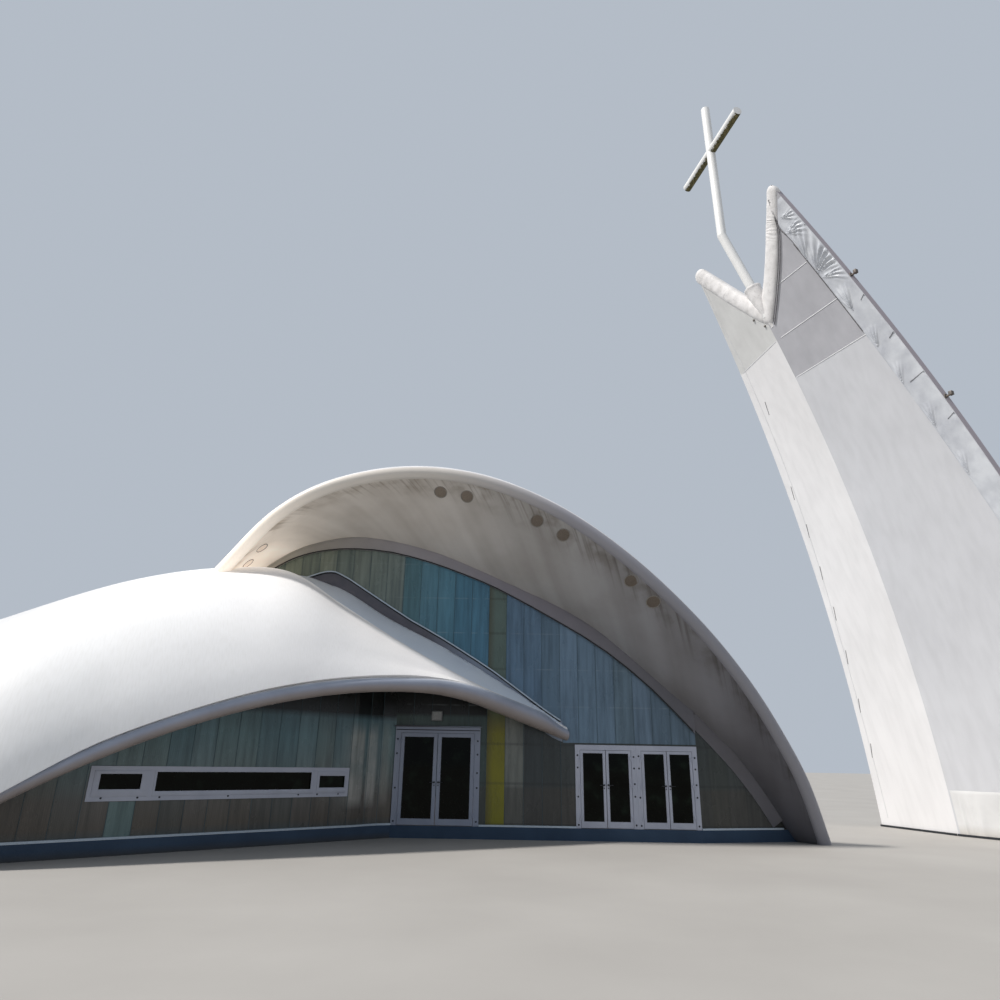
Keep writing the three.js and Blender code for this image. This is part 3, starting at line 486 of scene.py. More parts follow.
def swept_tube(stations, sides, way=None):
    """A tube drawn through stations, each a centre and a radius. Its rings stand square to the
    line, or all of them to the given way."""
    places = []
    for k, (centre, radius) in enumerate(stations):
        square_to = way or stations[min(k + 1, len(stations) - 1)][0] - stations[max(k - 1, 0)][0]
        turn = square_to.to_track_quat("Z", "Y").to_matrix().to_4x4()
        places.append(Matrix.Translation(centre) @ turn @ Matrix.Scale(radius, 4))
    return swept(places, sides)


def trim(body, spot, way):
    """Cuts off what lies beyond the spot in that way, and closes the cut."""
    whole = body.verts[:] + body.edges[:] + body.faces[:]
    cut = bmesh.ops.bisect_plane(body, geom=whole, plane_co=spot, plane_no=way,
                                 clear_outer=True)["geom_cut"]
    bmesh.ops.holes_fill(body, edges=[e for e in cut if isinstance(e, bmesh.types.BMEdge)], sides=0)
    bmesh.ops.recalc_face_normals(body, faces=body.faces[:])
    return body


rim_coat = new_finish("white_rim_coating", 0.4, specular=0.35)
rain = mottle(rim_coat, 0.4, 8, (1, 1, 0.25))
# Painted light and shade: only the rim's upper side keeps the coat's white. Its lower side wears the
# soffit's painted light and shade, pale at the left and darker towards the right, and its glow.
skyward = ranged(rim_coat, facing(rim_coat, (0, 0, 1)), 0.42, 0.68)
rim_run = ranged(rim_coat, axis(rim_coat, "X"), arch_from, arch_to)
rim_stops = painted_light_stops[:4] + [(0.647, 154, 153, 160), (0.82, 140, 140, 147), (1.0, 134, 134, 141)]
top_cast = graded(rim_coat, rain, (0.3, 210, 209, 210), (0.6, 222, 221, 223))
cast = mixed(rim_coat, skyward, graded(rim_coat, rim_run, *rim_stops), top_cast)
set_look(rim_coat, cast, (rain, 0.34, 0.5), mottle(rim_coat, 0.3, 3), 0.003)
painted_glow(rim_coat, mixed(rim_coat, skyward, cast, (0, 0, 0, 1)), rim_run, glow_stops)


def rim_tube(back):
    """The arch, with its two feet drawn on into the ground and cut off level with it."""
    points = [on_rim(x, z, back) for x, z in rim_outline]
    points.insert(0, points[0] + (points[0] - points[1]).normalized() * rim_root)
    points.append(points[-1] + (points[-1] - points[-2]).normalized() * rim_root)
    tube = swept_tube([(flowing(points, k / rim_steps), rim_radius) for k in range(rim_steps + 1)],
                      rim_sides)
    return trim(tube, (0, 0, 0), (0, 0, -1))


for name, node, back in (("front_rim_sleeve", "front_rim", 1), ("back_rim_sleeve", "back_rim", -1)):
    make_piece(name, "rim_edge", rim_tube(back), rim_coat, stands_for=[node])


# The air vents are round perforated caps of brownish metal, let into the soffit with a narrow
# pale ring. Two at the left are painted like the cloth.
vent_radius, vent_oval, vent_ring, vent_proud = 0.172, 1.3, 0.014, 0.012
vents = [(0.2765, 0.1038, True), (0.2606, 0.1371, True), (0.4908, 0.0417, False), (0.5166, 0.0386, False),
         (0.5823, 0.0311, False), (0.6066, 0.0292, False), (0.6674, 0.0205, False), (0.6902, 0.0233, False)]
vent_metal = new_finish("brown_vent_cap", 0.55, 0.2)
grain = mottle(vent_metal, 1 / 60, 5)
cast = graded(vent_metal, grain, (0.35, 132, 120, 106), (0.65, 152, 139, 124))
# Painted shade: the caps are painted darker towards the right.
shade_run = ranged(vent_metal, axis(vent_metal, "X"), -2.0, 7.0)
cast = stained(vent_metal, cast, 1.0, shade_run, (0.0, *white), (0.4, 214, 214, 216), (1.0, 182, 182, 186))
set_look(vent_metal, cast, None, grain, 0.004)
vent_paint = new_finish("painted_vent_cap", 0.5)
grain = mottle(vent_paint, 1 / 40, 5)
cast = graded(vent_paint, grain, (0.35, 206, 188, 172), (0.65, 216, 200, 184))
set_look(vent_paint, cast, None, grain, 0.004)
# Painted light: the painted caps glow like the soffit round them.
painted_glow(vent_paint, cast, ranged(vent_paint, axis(vent_paint, "X"), arch_from, arch_to), glow_stops)


def plain_finish(name, roughness, patch, low, high, depth, metallic=0.0, specular=0.5, stretch=(1, 1, 1),
                 pale=0.3):
    """A finish of one colour with a faint cloud in it: the cloud's patch is its size and detail."""
    finish = new_finish(name, roughness, metallic, specular)
    cloud = mottle(finish, *patch, stretch)
    set_look(finish, graded(finish, cloud, (pale, *low), (0.7, *high)), None, cloud, depth)
    return finish


def stub(body, sides, foot_radius, top_radius, height, spot):
    """A short round bar, upright, with its middle at the spot."""
    bmesh.ops.create_cone(body, cap_ends=True, segments=sides, radius1=foot_radius, radius2=top_radius,
                          depth=height, matrix=Matrix.Translation(spot))


vent_trim = plain_finish("pale_vent_ring", 0.4, (0.05, 5), (126, 122, 116), (142, 138, 132), 0.002, 0.1)
for k, (along, across, painted) in enumerate(vents):
    run = roof_point(along + 0.002, across) - roof_point(along - 0.002, across)
    over = roof_point(along, across + 0.002) - roof_point(along, across - 0.002)
    down = -run.cross(over).normalized()
    run.normalize()
    turn = Matrix((run, down.cross(run), down)).transposed().to_4x4()
    turn = turn @ Matrix.Diagonal((1, vent_oval, 1, 1))
    spot = roof_point(along, across) + down * (roof_thick / 2 - vent_proud)
    cap = bmesh.new()
    stub(cap, 40, vent_radius, vent_radius, 2 * vent_proud, (0, 0, 0))
    front = max(cap.faces, key=lambda face: face.calc_center_median().z)
    bmesh.ops.inset_individual(cap, faces=[front], thickness=vent_ring, depth=0.0)
    bmesh.ops.inset_individual(cap, faces=[front], thickness=0.006, depth=-0.008)
    hoop = bmesh.ops.inset_individual(cap, faces=[front], thickness=0.04, depth=0.006)["faces"]
    for face in cap.faces:
        face.material_index = 0 if face == front or face in hoop else 1
    placed = Matrix.Translation(spot) @ turn @ Matrix.Translation((0, 0, vent_proud))
    bmesh.ops.transform(cap, matrix=placed, verts=cap.verts[:])
    make_piece(f"soffit_vent_{k + 1}", "head_band", cap, vent_paint if painted else vent_metal, vent_trim)


# The head bands close the gap between the glass and the soffit, at the front and at the back.
# Each is a folded grey sheet with a pale lip under the soffit and a black gasket on the glass.
band_sheet = new_finish("grey_mauve_band", 0.5, 0.1)
rub = mottle(band_sheet, 0.5, 7)
# Painted light and shade: the band is paler at the left and darker towards the right.
cast = graded(band_sheet, ranged(band_sheet, axis(band_sheet, "X"), -5.0, 6.0), (0.0, 166, 162, 152),
              (0.3, 160, 156, 160), (0.6, 134, 130, 138), (0.86, 112, 110, 116), (1.0, 96, 95, 101))
cast = stained(band_sheet, cast, 0.5, rub, (0.3, 222, 222, 222), (0.7, *white))
set_look(band_sheet, cast, (rub, 0.4, 0.6), mottle(band_sheet, 0.12, 3), 0.003)
wear(band_sheet, "head_band_front", "head_band_back")
gasket = plain_finish("black_gasket", 0.7, (0.01, 3), (18, 19, 21), (34, 36, 38), 0.001)
lip_high, lip_deep, lip_drop, band_steps = 0.035, 0.02, 0.03, 70
gasket_high, gasket_deep, gasket_rise = 0.03, 0.02, 0.012
end_bar_high, end_bar_deep, end_bar_step, end_bar_steps = 0.5, 0.07, 0.11, 22
over_all = 12
upwards, downwards = (0, 0, 1), (0, 0, -1)
to_front, to_back = Vector((0, -1, 0)), Vector((0, 1, 0))


def probe(*nodes):
    """Finds where a straight line meets these CAD nodes."""
    joined = bmesh.new()
    for node in nodes:
        joined.from_mesh(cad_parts[node].data)
    tree = BVHTree.FromBMesh(joined)
    joined.free()
    return lambda start, way: tree.ray_cast(Vector(start), Vector(way))[0]


def swept_bar(points, wide, high, face):
    """A bar of that width and height drawn along points that lie in a plane facing that way."""
    places = []
    for k, point in enumerate(points):
        way = (points[min(k + 1, len(points) - 1)] - points[max(k - 1, 0)]).normalized()
        out = (face - way * face.dot(way)).normalized()
        turn = Matrix((out.cross(way), out, way)).transposed().to_4x4()
        places.append(Matrix.Translation(point) @ turn @ Matrix.Diagonal((high, wide, 1, 1)))
    return swept(places, 4, math.sqrt(0.5), math.pi / 4)


def spread(low, high, inset, steps):
    """Places from low to high, that far in from both ends."""
    return [low + inset + (high - low - 2 * inset) * k / steps for k in range(steps + 1)]


find_soffit = probe("roof_crown", "roof_right_shoulder", "roof_right_foot")
for side, face in (("front", to_front), ("back", to_back)):
    find = probe(f"head_band_{side}")
    low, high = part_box(f"head_band_{side}")
    outer = low.y if side == "front" else high.y
    inside = outer - face.y * 0.02
    spots = spread(low.x, high.x, 0.06, band_steps)
    lower = [find((x, inside, 0), upwards) for x in spots]
    upper = [find((x, inside, over_all), downwards) for x in spots]
    top_lip = [Vector((p.x, outer, p.z - lip_drop)) + face * 0.01 for p in upper if p]
    glass_edge = [Vector((p.x, outer, p.z + gasket_rise)) + face * 0.006 for p in lower if p]
    make_piece(f"head_band_lip_{side}", "head_band", swept_bar(top_lip, lip_deep, lip_high, face),
               band_sheet)
    seal = swept_bar(glass_edge, gasket_deep, gasket_high, face)
    make_piece(f"glass_head_gasket_{side}", "head_band", seal, gasket)
    rest = []
    for k in range(end_bar_steps):
        x = high.x - 0.02 + end_bar_step * k
        above = find_soffit((x, -face.y * (wall_at(x) - 0.035), 0.4), upwards)
        if above:
            rest.append(above - Vector((0, 0, 0.17)))
    end_bar = swept_bar(rest, end_bar_deep, end_bar_high, face)
    make_piece(f"head_band_end_{side}", "head_band", end_bar, band_sheet)


# The front is glazed from floor to head band with translucent ribbed panels half a metre wide,
# which stand on a low sill. Dark clip joints run up between them, and level rails of the frame
# behind show through one metre apart, faint and pale above the wing and dark below it.
panel_pitch, first_joint, rib_pitch = 0.5, 0.95, 0.04
first_rail, rail_pitch, shaded_below = 0.36, 0.99, 3.05


def along_wall(finish, start, way):
    """How far along a wall a point of the piece lies, from the start."""
    here = add(finish, "TexCoord", {}, "Object")
    off = add(finish, "VectorMath", {0: here, 1: start}, operation="SUBTRACT")
    return add(finish, "VectorMath", {0: off, 1: way}, "Value", operation="DOT_PRODUCT")


def times(finish, first, *others):
    for other in others:
        first = worked(finish, "MULTIPLY", first, other)
    return first


def to_and_fro(finish, far, pitch):
    """From 0 at each joint of that pitch to a half midway between two."""
    return worked(finish, "PINGPONG", worked(finish, "DIVIDE", far, pitch), 0.5)


def off_rail(finish, high):
    return to_and_fro(finish, worked(finish, "SUBTRACT", high, first_rail), rail_pitch)


def panel_finish(name, run, pitch, tones, by_height, rails=0.12):
    """Ribbed panels: each bay has a tone of its own, over colours that change with the height."""
    finish = new_finish(name, 0.28, specular=0.4)
    high, far = axis(finish, "Z"), run(finish)
    bay = worked(finish, "FLOOR", worked(finish, "DIVIDE", far, pitch))
    lot = add(finish, "TexWhiteNoise", {"W": worked(finish, "ADD", bay, 0.37)}, "Value",
              noise_dimensions="1D")
    look = mixed(finish, 0.8, by_height(finish, high), graded(finish, lot, *tones, steps="CONSTANT"),
                 "MULTIPLY")
    drawn_out = add(finish, "CombineXYZ", {"X": far, "Y": times(finish, high, 0.07), "Z": bay})
    streak = mottle(finish, 0.11, 3, where=drawn_out)
    look = stained(finish, look, 0.7, streak, (0.3, 176, 182, 184), (0.5, 228, 230, 230), (0.68, *white))
    look = stained(finish, look, 0.15, to_and_fro(finish, far, pitch), (0.0, 120, 126, 128), (0.1, *white))
    level = off_rail(finish, high)
    broken = ranged(finish, mottle(finish, 0.35, 3, where=drawn_out), 0.42, 0.6)
    above, below = [worked(finish, way, high, shaded_below) for way in ("GREATER_THAN", "LESS_THAN")]
    pale = times(finish, ranged(finish, level, 0.008, 0.024, rails, 0.0), broken, above)
    look = mixed(finish, pale, look, tint(176, 188, 190))
    dark = times(finish, ranged(finish, level, 0.02, 0.045, 3 * rails, 0.0), below)
    look = mixed(finish, dark, look, tint(30, 34, 34))
    fog = mottle(finish, 0.7, 5, (1, 1, 0.5))
    look = stained(finish, look, 0.25, fog, (0.3, 160, 164, 164), (0.65, *white))
    set_look(finish, look, (fog, 0.2, 0.36), to_and_fro(finish, far, rib_pitch), 0.0015)
    return finish


def front_run(finish):
    return along_wall(finish, (first_joint, wall_face, 0), (1, 0, 0))


def front_colours(finish, high):
    """Above the wing each stretch has its own blue or olive. Below it lies grey-green, with brown
    near the foot, and the wing's shade painted near black over the top."""
    x_of = axis(finish, "X")
    across = ranged(finish, x_of, -6.5, 6.5)
    upper = graded(finish, across, (0.0, 138, 144, 124), (0.2, 132, 140, 126), (0.38, 126, 138, 134),
                   (0.3815, 90, 130, 144), (0.5, 82, 132, 154), (0.6105, 84, 132, 158),
                   (0.6125, 106, 134, 158), (0.8, 108, 132, 154), (1.0, 104, 124, 142))
    lower = graded(finish, across, (0.0, 64, 82, 80), (0.55, 66, 86, 82), (0.611, 70, 88, 84),
                   (0.612, 136, 136, 127), (0.6495, 128, 128, 120), (0.6505, 60, 66, 67), (1.0, 68, 74, 73))
    brown = mixed(finish, ranged(finish, high, 1.32, 1.22), lower, tint(78, 72, 66))
    lower = mixed(finish, 0.55, lower, brown)
    wing_line = worked(finish, "MINIMUM", worked(finish, "ADD", times(finish, x_of, -0.57), 4.55), 6.3)
    below = times(finish, worked(finish, "LESS_THAN", high, wing_line),
                  worked(finish, "LESS_THAN", x_of, 3.02))
    for part in (worked(finish, "GREATER_THAN", x_of, wall_turn), worked(finish, "LESS_THAN", high, 2.4)):
        below = worked(finish, "MAXIMUM", below, part)
    # Painted shade: the panels just below the wing's rim are painted near black.
    shade = times(finish, below, ranged(finish, high, 3.0, 3.1))
    return mixed(finish, shade, mixed(finish, below, upper, lower), tint(14, 17, 18))


wall_tones = [(0.0, 216, 222, 222), (0.22, 244, 247, 246), (0.45, 232, 234, 226), (0.62, *white),
              (0.8, 222, 230, 236)]
front_panels = panel_finish("translucent_front_panels", front_run, panel_pitch, wall_tones, front_colours)
front_parts = ("over_wing", "over_door_1", "left_bay", "middle", "over_doors_2_3", "right")
wear(front_panels, *[f"front_wall_{part}" for part in front_parts])

joint_wide, joint_proud = 0.009, 0.005
to_right = Vector((1, 0, 0))


def block(body, placed, size):
    """Adds a block of that size at a place, and gives its edges."""
    made = bmesh.ops.create_cube(body, size=1, matrix=placed @ Matrix.Diagonal((*size, 1)))["verts"]
    return list({edge for vert in made for edge in vert.link_edges})


def round_off(body, edges, by, steps=2):
    bmesh.ops.bevel(body, geom=edges, offset=by, segments=steps, profile=0.5, affect="EDGES", material=-1)


def joint_strip(strips, x, y, foot, top, way=to_right):
    """One clip joint: a slim bevelled strip that stands on the wall from foot to top."""
    turn = Matrix((way, Vector((-way.y, way.x, 0)), Vector((0, 0, 1)))).transposed().to_4x4()
    placed = Matrix.Translation((x, y, (foot + top) / 2)) @ turn
    edges = block(strips, placed, (joint_wide, 2 * joint_proud, top - foot))
    round_off(strips, [e for e in edges if abs(e.verts[0].co.z - e.verts[1].co.z) > 0.1], 0.002, 1)


find_band = probe("head_band_front")
find_flash = probe("flashing_panel")
find_wing = probe("wing_roof_left", "wing_roof_middle", "wing_roof_right")
find_roof = probe("roof_left_shoulder", "roof_crown", "roof_right_shoulder", "roof_right_foot")
door_heads = {name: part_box(f"{name}_frame") for name in ("door_1", "door_2", "door_3")}


def foot_of(x):
    """Where a joint of the front starts: on the floor's sill, or over a door's frame."""
    for low, high in door_heads.values():
        if low.x < x < high.x:
            return high.z
    return floor_top


upper_joints, lower_joints = bmesh.new(), bmesh.new()
for k in range(-14, 12):
    x = first_joint + k * panel_pitch
    seat = wall_face - 0.001
    under = (x, wall_face - 0.05, 0)
    band_at = find_band(under, upwards) or find_roof(under, upwards)
    flash_at = find_flash((x, wall_face - 0.015, over_all), downwards)
    wing_at = find_wing((x, wall_face - 0.06, 0.5), upwards)
    if band_at and (flash_at or x > 3.0):
        joint_strip(upper_joints, x, seat, (flash_at.z if flash_at else foot_of(x)) + 0.002, band_at.z)
    if wing_at and x > -1.5 and foot_of(x) < wing_at.z:
        joint_strip(lower_joints, x, seat, foot_of(x), wing_at.z)
joint_shade = plain_finish("grey_clip_joint", 0.6, (0.25, 5), (52, 72, 80), (76, 98, 106), 0.001,
                           specular=0.3, stretch=(1, 1, 0.3), pale=0.35)
make_piece("upper_glass_joints", "wall_panel", upper_joints, joint_shade)
make_piece("lower_glass_joints", "wall_panel", lower_joints, joint_shade)

# One bay is closed by a yellow panel of the same make, bright below the wing's rim and olive
# above it, where daylight stands behind.
yellow_panel = new_finish("translucent_yellow_panel", 0.3, specular=0.4)
high = axis(yellow_panel, "Z")
sheen = graded(yellow_panel, ranged(yellow_panel, high, 2.6, 3.4), (0.0, 122, 118, 10), (0.2, 112, 108, 30),
               (1.0, 88, 106, 100))
fog = mottle(yellow_panel, 0.4, 5, (1, 1, 0.3))
sheen = stained(yellow_panel, sheen, 0.4, fog, (0.3, 170, 172, 160), (0.65, *white))
side_dark = ranged(yellow_panel, axis(yellow_panel, "X"), 0.98, 1.14, 0.6, 0.0)
rail_dark = ranged(yellow_panel, off_rail(yellow_panel, high), 0.02, 0.045, 0.3, 0.0)
sheen = mixed(yellow_panel, side_dark, sheen, tint(66, 58, 34))
sheen = mixed(yellow_panel, rail_dark, sheen, tint(40, 38, 20))
rib = to_and_fro(yellow_panel, front_run(yellow_panel), rib_pitch)
set_look(yellow_panel, sheen, (fog, 0.22, 0.38), rib, 0.004)
wear(yellow_panel, "front_wall_yellow_panel")


# The back repeats the front's panels below its own head band, in colours that change only along
# the wall. The same dark clip joints run up from the floor.
def back_colours(finish, high):
    """The height is not used here: each of the back's panels has one colour from foot to top."""
    return graded(finish, ranged(finish, axis(finish, "X"), -9.0, 9.0), (0.0, 100, 112, 106),
                  (0.4, 96, 126, 134), (0.7, 88, 108, 124), (1.0, 92, 104, 112))


back_panels = panel_finish("translucent_back_panels", front_run, panel_pitch, wall_tones, back_colours)
back_parts = ("left", "middle", "right", "left_end", "right_end")
wear(back_panels, *[f"back_wall_{part}" for part in back_parts])
back_joints = bmesh.new()
find_back, find_back_roof = probe("head_band_back"), probe(*roof_nodes)
for k in range(-15, 12):
    x = first_joint + k * panel_pitch
    under = (x, -wall_face + 0.05, floor_top)
    top = find_back(under, upwards) or find_back_roof(under, upwards)
    if top:
        joint_strip(back_joints, x, -wall_face + 0.001, floor_top, top.z)
make_piece("back_wall_joints", "wall_panel", back_joints, joint_shade)


# A sill of pale aluminium, 75 mm wide and 45 mm high, caps the plinth all along the front and
# the back, and stops at the door frames.
sill_wide, sill_high, sill_rise = 0.075, 0.045, 0.023
sill_line = wall_face - 0.03
sill_end = 8.95
sill_end_line = wall_at(sill_end) - 0.03
pale_sill = new_finish("pale_aluminium_sill", 0.38, 0.35)
brushed = mottle(pale_sill, 0.02, 4, (0.2, 1, 1))
cast = graded(pale_sill, brushed, (0.3, 160, 174, 186), (0.7, 182, 194, 206))
set_look(pale_sill, cast, (brushed, 0.3, 0.5), brushed, 0.001)


def sill_bar(plan, face):
    points = [Vector((x, y, floor_top + sill_rise)) for x, y in plan]
    return swept_bar(points, sill_wide, sill_high, face)


sills = {
    "sill_middle": (to_front, (door_heads["door_1"][1].x + 0.002, sill_line),
                    (door_heads["door_2"][0].x - 0.002, sill_line)),
    "sill_right": (to_front, (door_heads["door_3"][1].x + 0.002, sill_line), (wall_turn, sill_line),
                   (sill_end, sill_end_line)),
    "sill_back": (to_back, (-sill_end, -sill_end_line), (-wall_turn, -sill_line), (wall_turn, -sill_line),
                  (sill_end, -sill_end_line)),
}
for name, (face, *plan) in sills.items():
    make_piece(name, "door_metal", sill_bar(plan, face), pale_sill)


# Where the wing's roof meets the glass, a lens of dark folded sheet fills the corner. A pale
# round-nosed sill caps it in a long curve, with a black line of mastic below.
flash_sheet = new_finish("dark_folded_flashing", 0.45, 0.3)
rub = mottle(flash_sheet, 0.3, 6)
cast = graded(flash_sheet, rub, (0.3, 78, 78, 86), (0.7, 96, 95, 103))
cast = mixed(flash_sheet, ranged(flash_sheet, axis(flash_sheet, "X"), -0.8, 0.5), cast, tint(122, 132, 148))
set_look(flash_sheet, cast, (rub, 0.35, 0.55), rub, 0.003)
wear(flash_sheet, "flashing_panel")
low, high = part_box("flashing_panel")
crown = [find_flash((x, wall_face - 0.015, over_all), downwards) for x in spread(low.x, high.x, 0.05, 80)]
for name, out, down, wide, thick, finish in (("flashing_drip_sill", 0.045, 0.01, 0.05, 0.034, pale_sill),
                                             ("flashing_mastic_line", 0.035, 0.046, 0.02, 0.035, gasket)):
    line = [Vector((p.x, wall_face - out, p.z - down)) for p in crown if p]
    make_piece(name, "flashing", swept_bar(line, wide, thick, to_front), finish)


# The wing's roof is a second membrane, a leaf that rises from a tip on the ground at the left,
# over the low wing, and dies against the hall's glass above the doors. Along its front it rolls
# over a round rim that swells towards the hall.
wing_thick = 0.24
wing_left, wing_right = Vector((-8.86, -15.06)), Vector((3.1, -8.03))
wing_crest, wing_crest_at, wing_straight_at = 3.146, 9.5, 11.3
wing_fall_left, wing_fall_right = 9.29, 6.3
wing_rim_radius, wing_rim_fat, wing_rim_thin = 0.17, 0.24, 0.15
wing_rim_grows, wing_rim_dies = (8.5, 12.3), 12.9
wing_rows, wing_steps, wing_rim_steps = 108, 16, 120
glass_behind = wall_face - 0.031
wing_tip = (-15.9, -10.4, 0)

# Each station: the leaf's front edge, as a point or as a length along the rim, its top line, its
# far edge, and how far its front and its back slope are rounded.
wing_stations = [
    (wing_tip, wing_tip, wing_tip, 1, 1),
    ((-14.9, -12.6, 0), (-14.9, -9.9, 2.2), (-15.1, -7.3, 0), 1, 1),
    ((-12.3, -14.5, 0), (-13.2, -9.4, 4.0), (-13.2, -4.7, 0), 1, 1),
    (0.0, (-11.0, -9.0, 5.3), (-10.6, -2.8, 0), 1, 1),
    (2.8, (-8.6, -8.85, 6.31), (-8.3, -2.3, 0), 0.95, 1),
    (5.2, (-6.5, -8.75, 6.74), (-6.8, -3.5, 2.5), 0.85, 0.8),
    (6.6, (-4.73, -9.0, 6.645), (-5.09, -7.3, 6.89), 0.75, 0.2),
    (8.0, (-3.17, -9.3, 5.75), (-3.8, -7.4, 6.82), 0.6, 0),
    (9.6, (-1.435, -9.55, 4.705), (-2.15, -7.4, 5.9), 0.4, 0),
    (11.0, (0.21, -9.3, 3.865), (-0.4, -7.4, 5.085), 0.3, 0),
    (12.4, (1.75, -8.7, 3.24), (1.2, -7.4, 4.15), 0.2, 0),
    (13.87, (3.06, -8.0, 2.7), (2.9, -7.4, 3.1), 0.2, 0),
]
wing_way = (wing_right - wing_left).normalized()
wing_length = (wing_right - wing_left).length


def eased(value, low, high):
    share = min(max((value - low) / (high - low), 0), 1)
    return share * share * (3 - 2 * share)


def wing_radius(along):
    radius = wing_rim_radius + (wing_rim_fat - wing_rim_radius) * eased(along, *wing_rim_grows)
    return radius + (wing_rim_thin - radius) * eased(along, wing_rim_dies, wing_length)


def wing_edge(along):
    """The rim's middle line: a low arch over the wing, which runs out straight towards the hall."""
    bent = min(along, wing_straight_at)
    fall = wing_fall_left if bent < wing_crest_at else wing_fall_right
    part = (bent - wing_crest_at) / fall
    high = floor_top + wing_crest * (1 - part * part - 2 * part * (along - bent) / fall)
    spot = wing_left + wing_way * along
    return Vector((spot.x, spot.y, max(high, 0) + wing_radius(along)))


def sloped(edge, top, round_by, share):
    """A point on one slope of the leaf, from its edge, 0, to its top line, 1."""
    turn = share * math.pi / 2
    flat = share + (1 - math.cos(turn) - share) * round_by
    rise = share + (math.sin(turn) - share) * round_by
    return Vector((edge.x + (top.x - edge.x) * flat, edge.y + (top.y - edge.y) * flat,
                   edge.z + (top.z - edge.z) * rise))


lows, tops, fars, fronts, backs = [], [], [], [], []
for k, (low, top, far, front, back) in enumerate(wing_stations):
    lows.append(wing_edge(low) if isinstance(low, float) else Vector(low))
    tops.append(Vector(top))
    fars.append(Vector(far))
    fronts.append(Vector((k, front, 0)))
    backs.append(Vector((k, back, 0)))


def wing_row(share):
    """A row of points over the leaf, from inside the rim over the top line to the far edge."""
    edge, crest, end = [flowing(line, share) for line in (lows, tops, fars)]
    front, back = flowing(fronts, share).y, flowing(backs, share).y
    hidden = 0 if share == 0 or edge.x < wing_left.x else min(wing_rim_thin / (crest - edge).length, 0.3)
    row = [sloped(edge, crest, front, hidden + (1 - hidden) * j / wing_steps) for j in range(wing_steps)]
    return row + [sloped(end, crest, back, j / wing_steps) for j in range(wing_steps, -1, -1)]


def cut_away(piece, cutter):
    """Takes the cutter's solid away from the piece for good, and drops the cutter."""
    cut = piece.modifiers.new("cut", "BOOLEAN")
    cut.object, cut.operation, cut.solver, cut.use_self = cutter, "DIFFERENCE", "EXACT", True
    bpy.context.view_layer.update()
    cut_mesh = bpy.data.meshes.new_from_object(piece.evaluated_get(bpy.context.evaluated_depsgraph_get()))
    old = piece.data
    piece.modifiers.clear()
    piece.data = cut_mesh
    cut_mesh.name = piece.name
    bpy.data.meshes.remove(old)
    bpy.data.objects.remove(cutter)


def hall_room():
    """All that lies below the middle of the main roof and behind the glass, as one solid."""
    rows, columns = 60, 24
    grid = roof_grid(rows, columns)
    room = raised_sheet(rows, columns)
    room.loops.layers.uv.remove(room.loops.layers.uv.active)
    for vert in room.verts:
        spot = grid[round((vert.co.x + 0.5) * rows)][round((vert.co.y + 0.5) * columns)]
        vert.co = spot if vert.co.z > 0.5 else Vector((spot.x, spot.y, -1))
    trim(room, (0, glass_behind, 0), (0, -1, 0))
    melt_doubles(room, 0.001)
    bmesh.ops.triangulate(room, faces=room.faces[:])
    bmesh.ops.recalc_face_normals(room, faces=room.faces[:])
    return new_piece("hall_room", room)


wing_top = new_finish("white_wing_membrane", 0.46, specular=0.3)
drawn = on_shell(wing_top)
across, x_of = axis(wing_top, "Y", drawn), axis(wing_top, "X")
dust = mottle(wing_top, 1.3, 9)
runs = mottle(wing_top, 0.03, 3, (26, 1.6, 1), drawn)
# Painted light and shade: the leaf's white is darker towards its left tip and brightest towards the hall,
# evening out how the sun falls on it.
cast = graded(wing_top, ranged(wing_top, x_of, -13.5, 0.5), (0.0, 206, 206, 208), (0.25, 211, 211, 212),
              (0.45, 238, 238, 238), (1.0, 254, 252, 252))
cast = stained(wing_top, cast, 0.3, dust, (0.25, 238, 237, 236), (0.65, *white))
# Painted shade: behind the crest, towards the hall, the back slope is painted blue-grey.
strip = times(wing_top, ranged(wing_top, across, 0.5, 0.503), ranged(wing_top, x_of, -4.9, -4.7))
cast = mixed(wing_top, strip, cast, graded(wing_top, dust, (0.25, 226, 236, 250), (0.65, 234, 243, 254)))
cast = stained(wing_top, cast, 0.15, runs, (0.3, 216, 214, 208), (0.6, *white))
set_look(wing_top, cast, (dust, 0.36, 0.52), mottle(wing_top, 0.6, 2), 0.006)
# Painted light: near the crest at the left the front slope glows a little, where the main roof's shadow
# falls on it.
crest_side = times(wing_top, ranged(wing_top, x_of, -9.0, -7.0), ranged(wing_top, x_of, -1.0, -3.0),
                   worked(wing_top, "SUBTRACT", 1.0, strip), ranged(wing_top, across, 0.36, 0.48))
painted_glow(wing_top, cast, crest_side, [(0.0, 0.0), (1.0, 0.4)])
wing_under = plain_finish("grey_wing_soffit", 0.65, (0.8, 6), (150, 148, 146), (172, 170, 166), 0.01,
                          specular=0.2)


def wing_swell(along, across, upper):
    """The cloth rises to the rim's roll, but not at the leaf's two ends."""
    if not upper:
        return 0.0
    return 0.055 * (1 - eased(across, 0, 0.1)) * eased(along, 0.28, 0.36) * (1 - eased(along, 0.86, 0.95))


leaf = lofted_shell([wing_row(i / wing_rows) for i in range(wing_rows + 1)], wing_thick, wing_swell)
wing_roof = new_piece("wing_roof_membrane", leaf, wing_top, wing_under, crease=14)
cut_away(wing_roof, hall_room())
leaf_nodes = [f"wing_roof_{part}" for part in ("left_end", "left", "middle", "right")]
settle(wing_roof, stands_for=leaf_nodes)

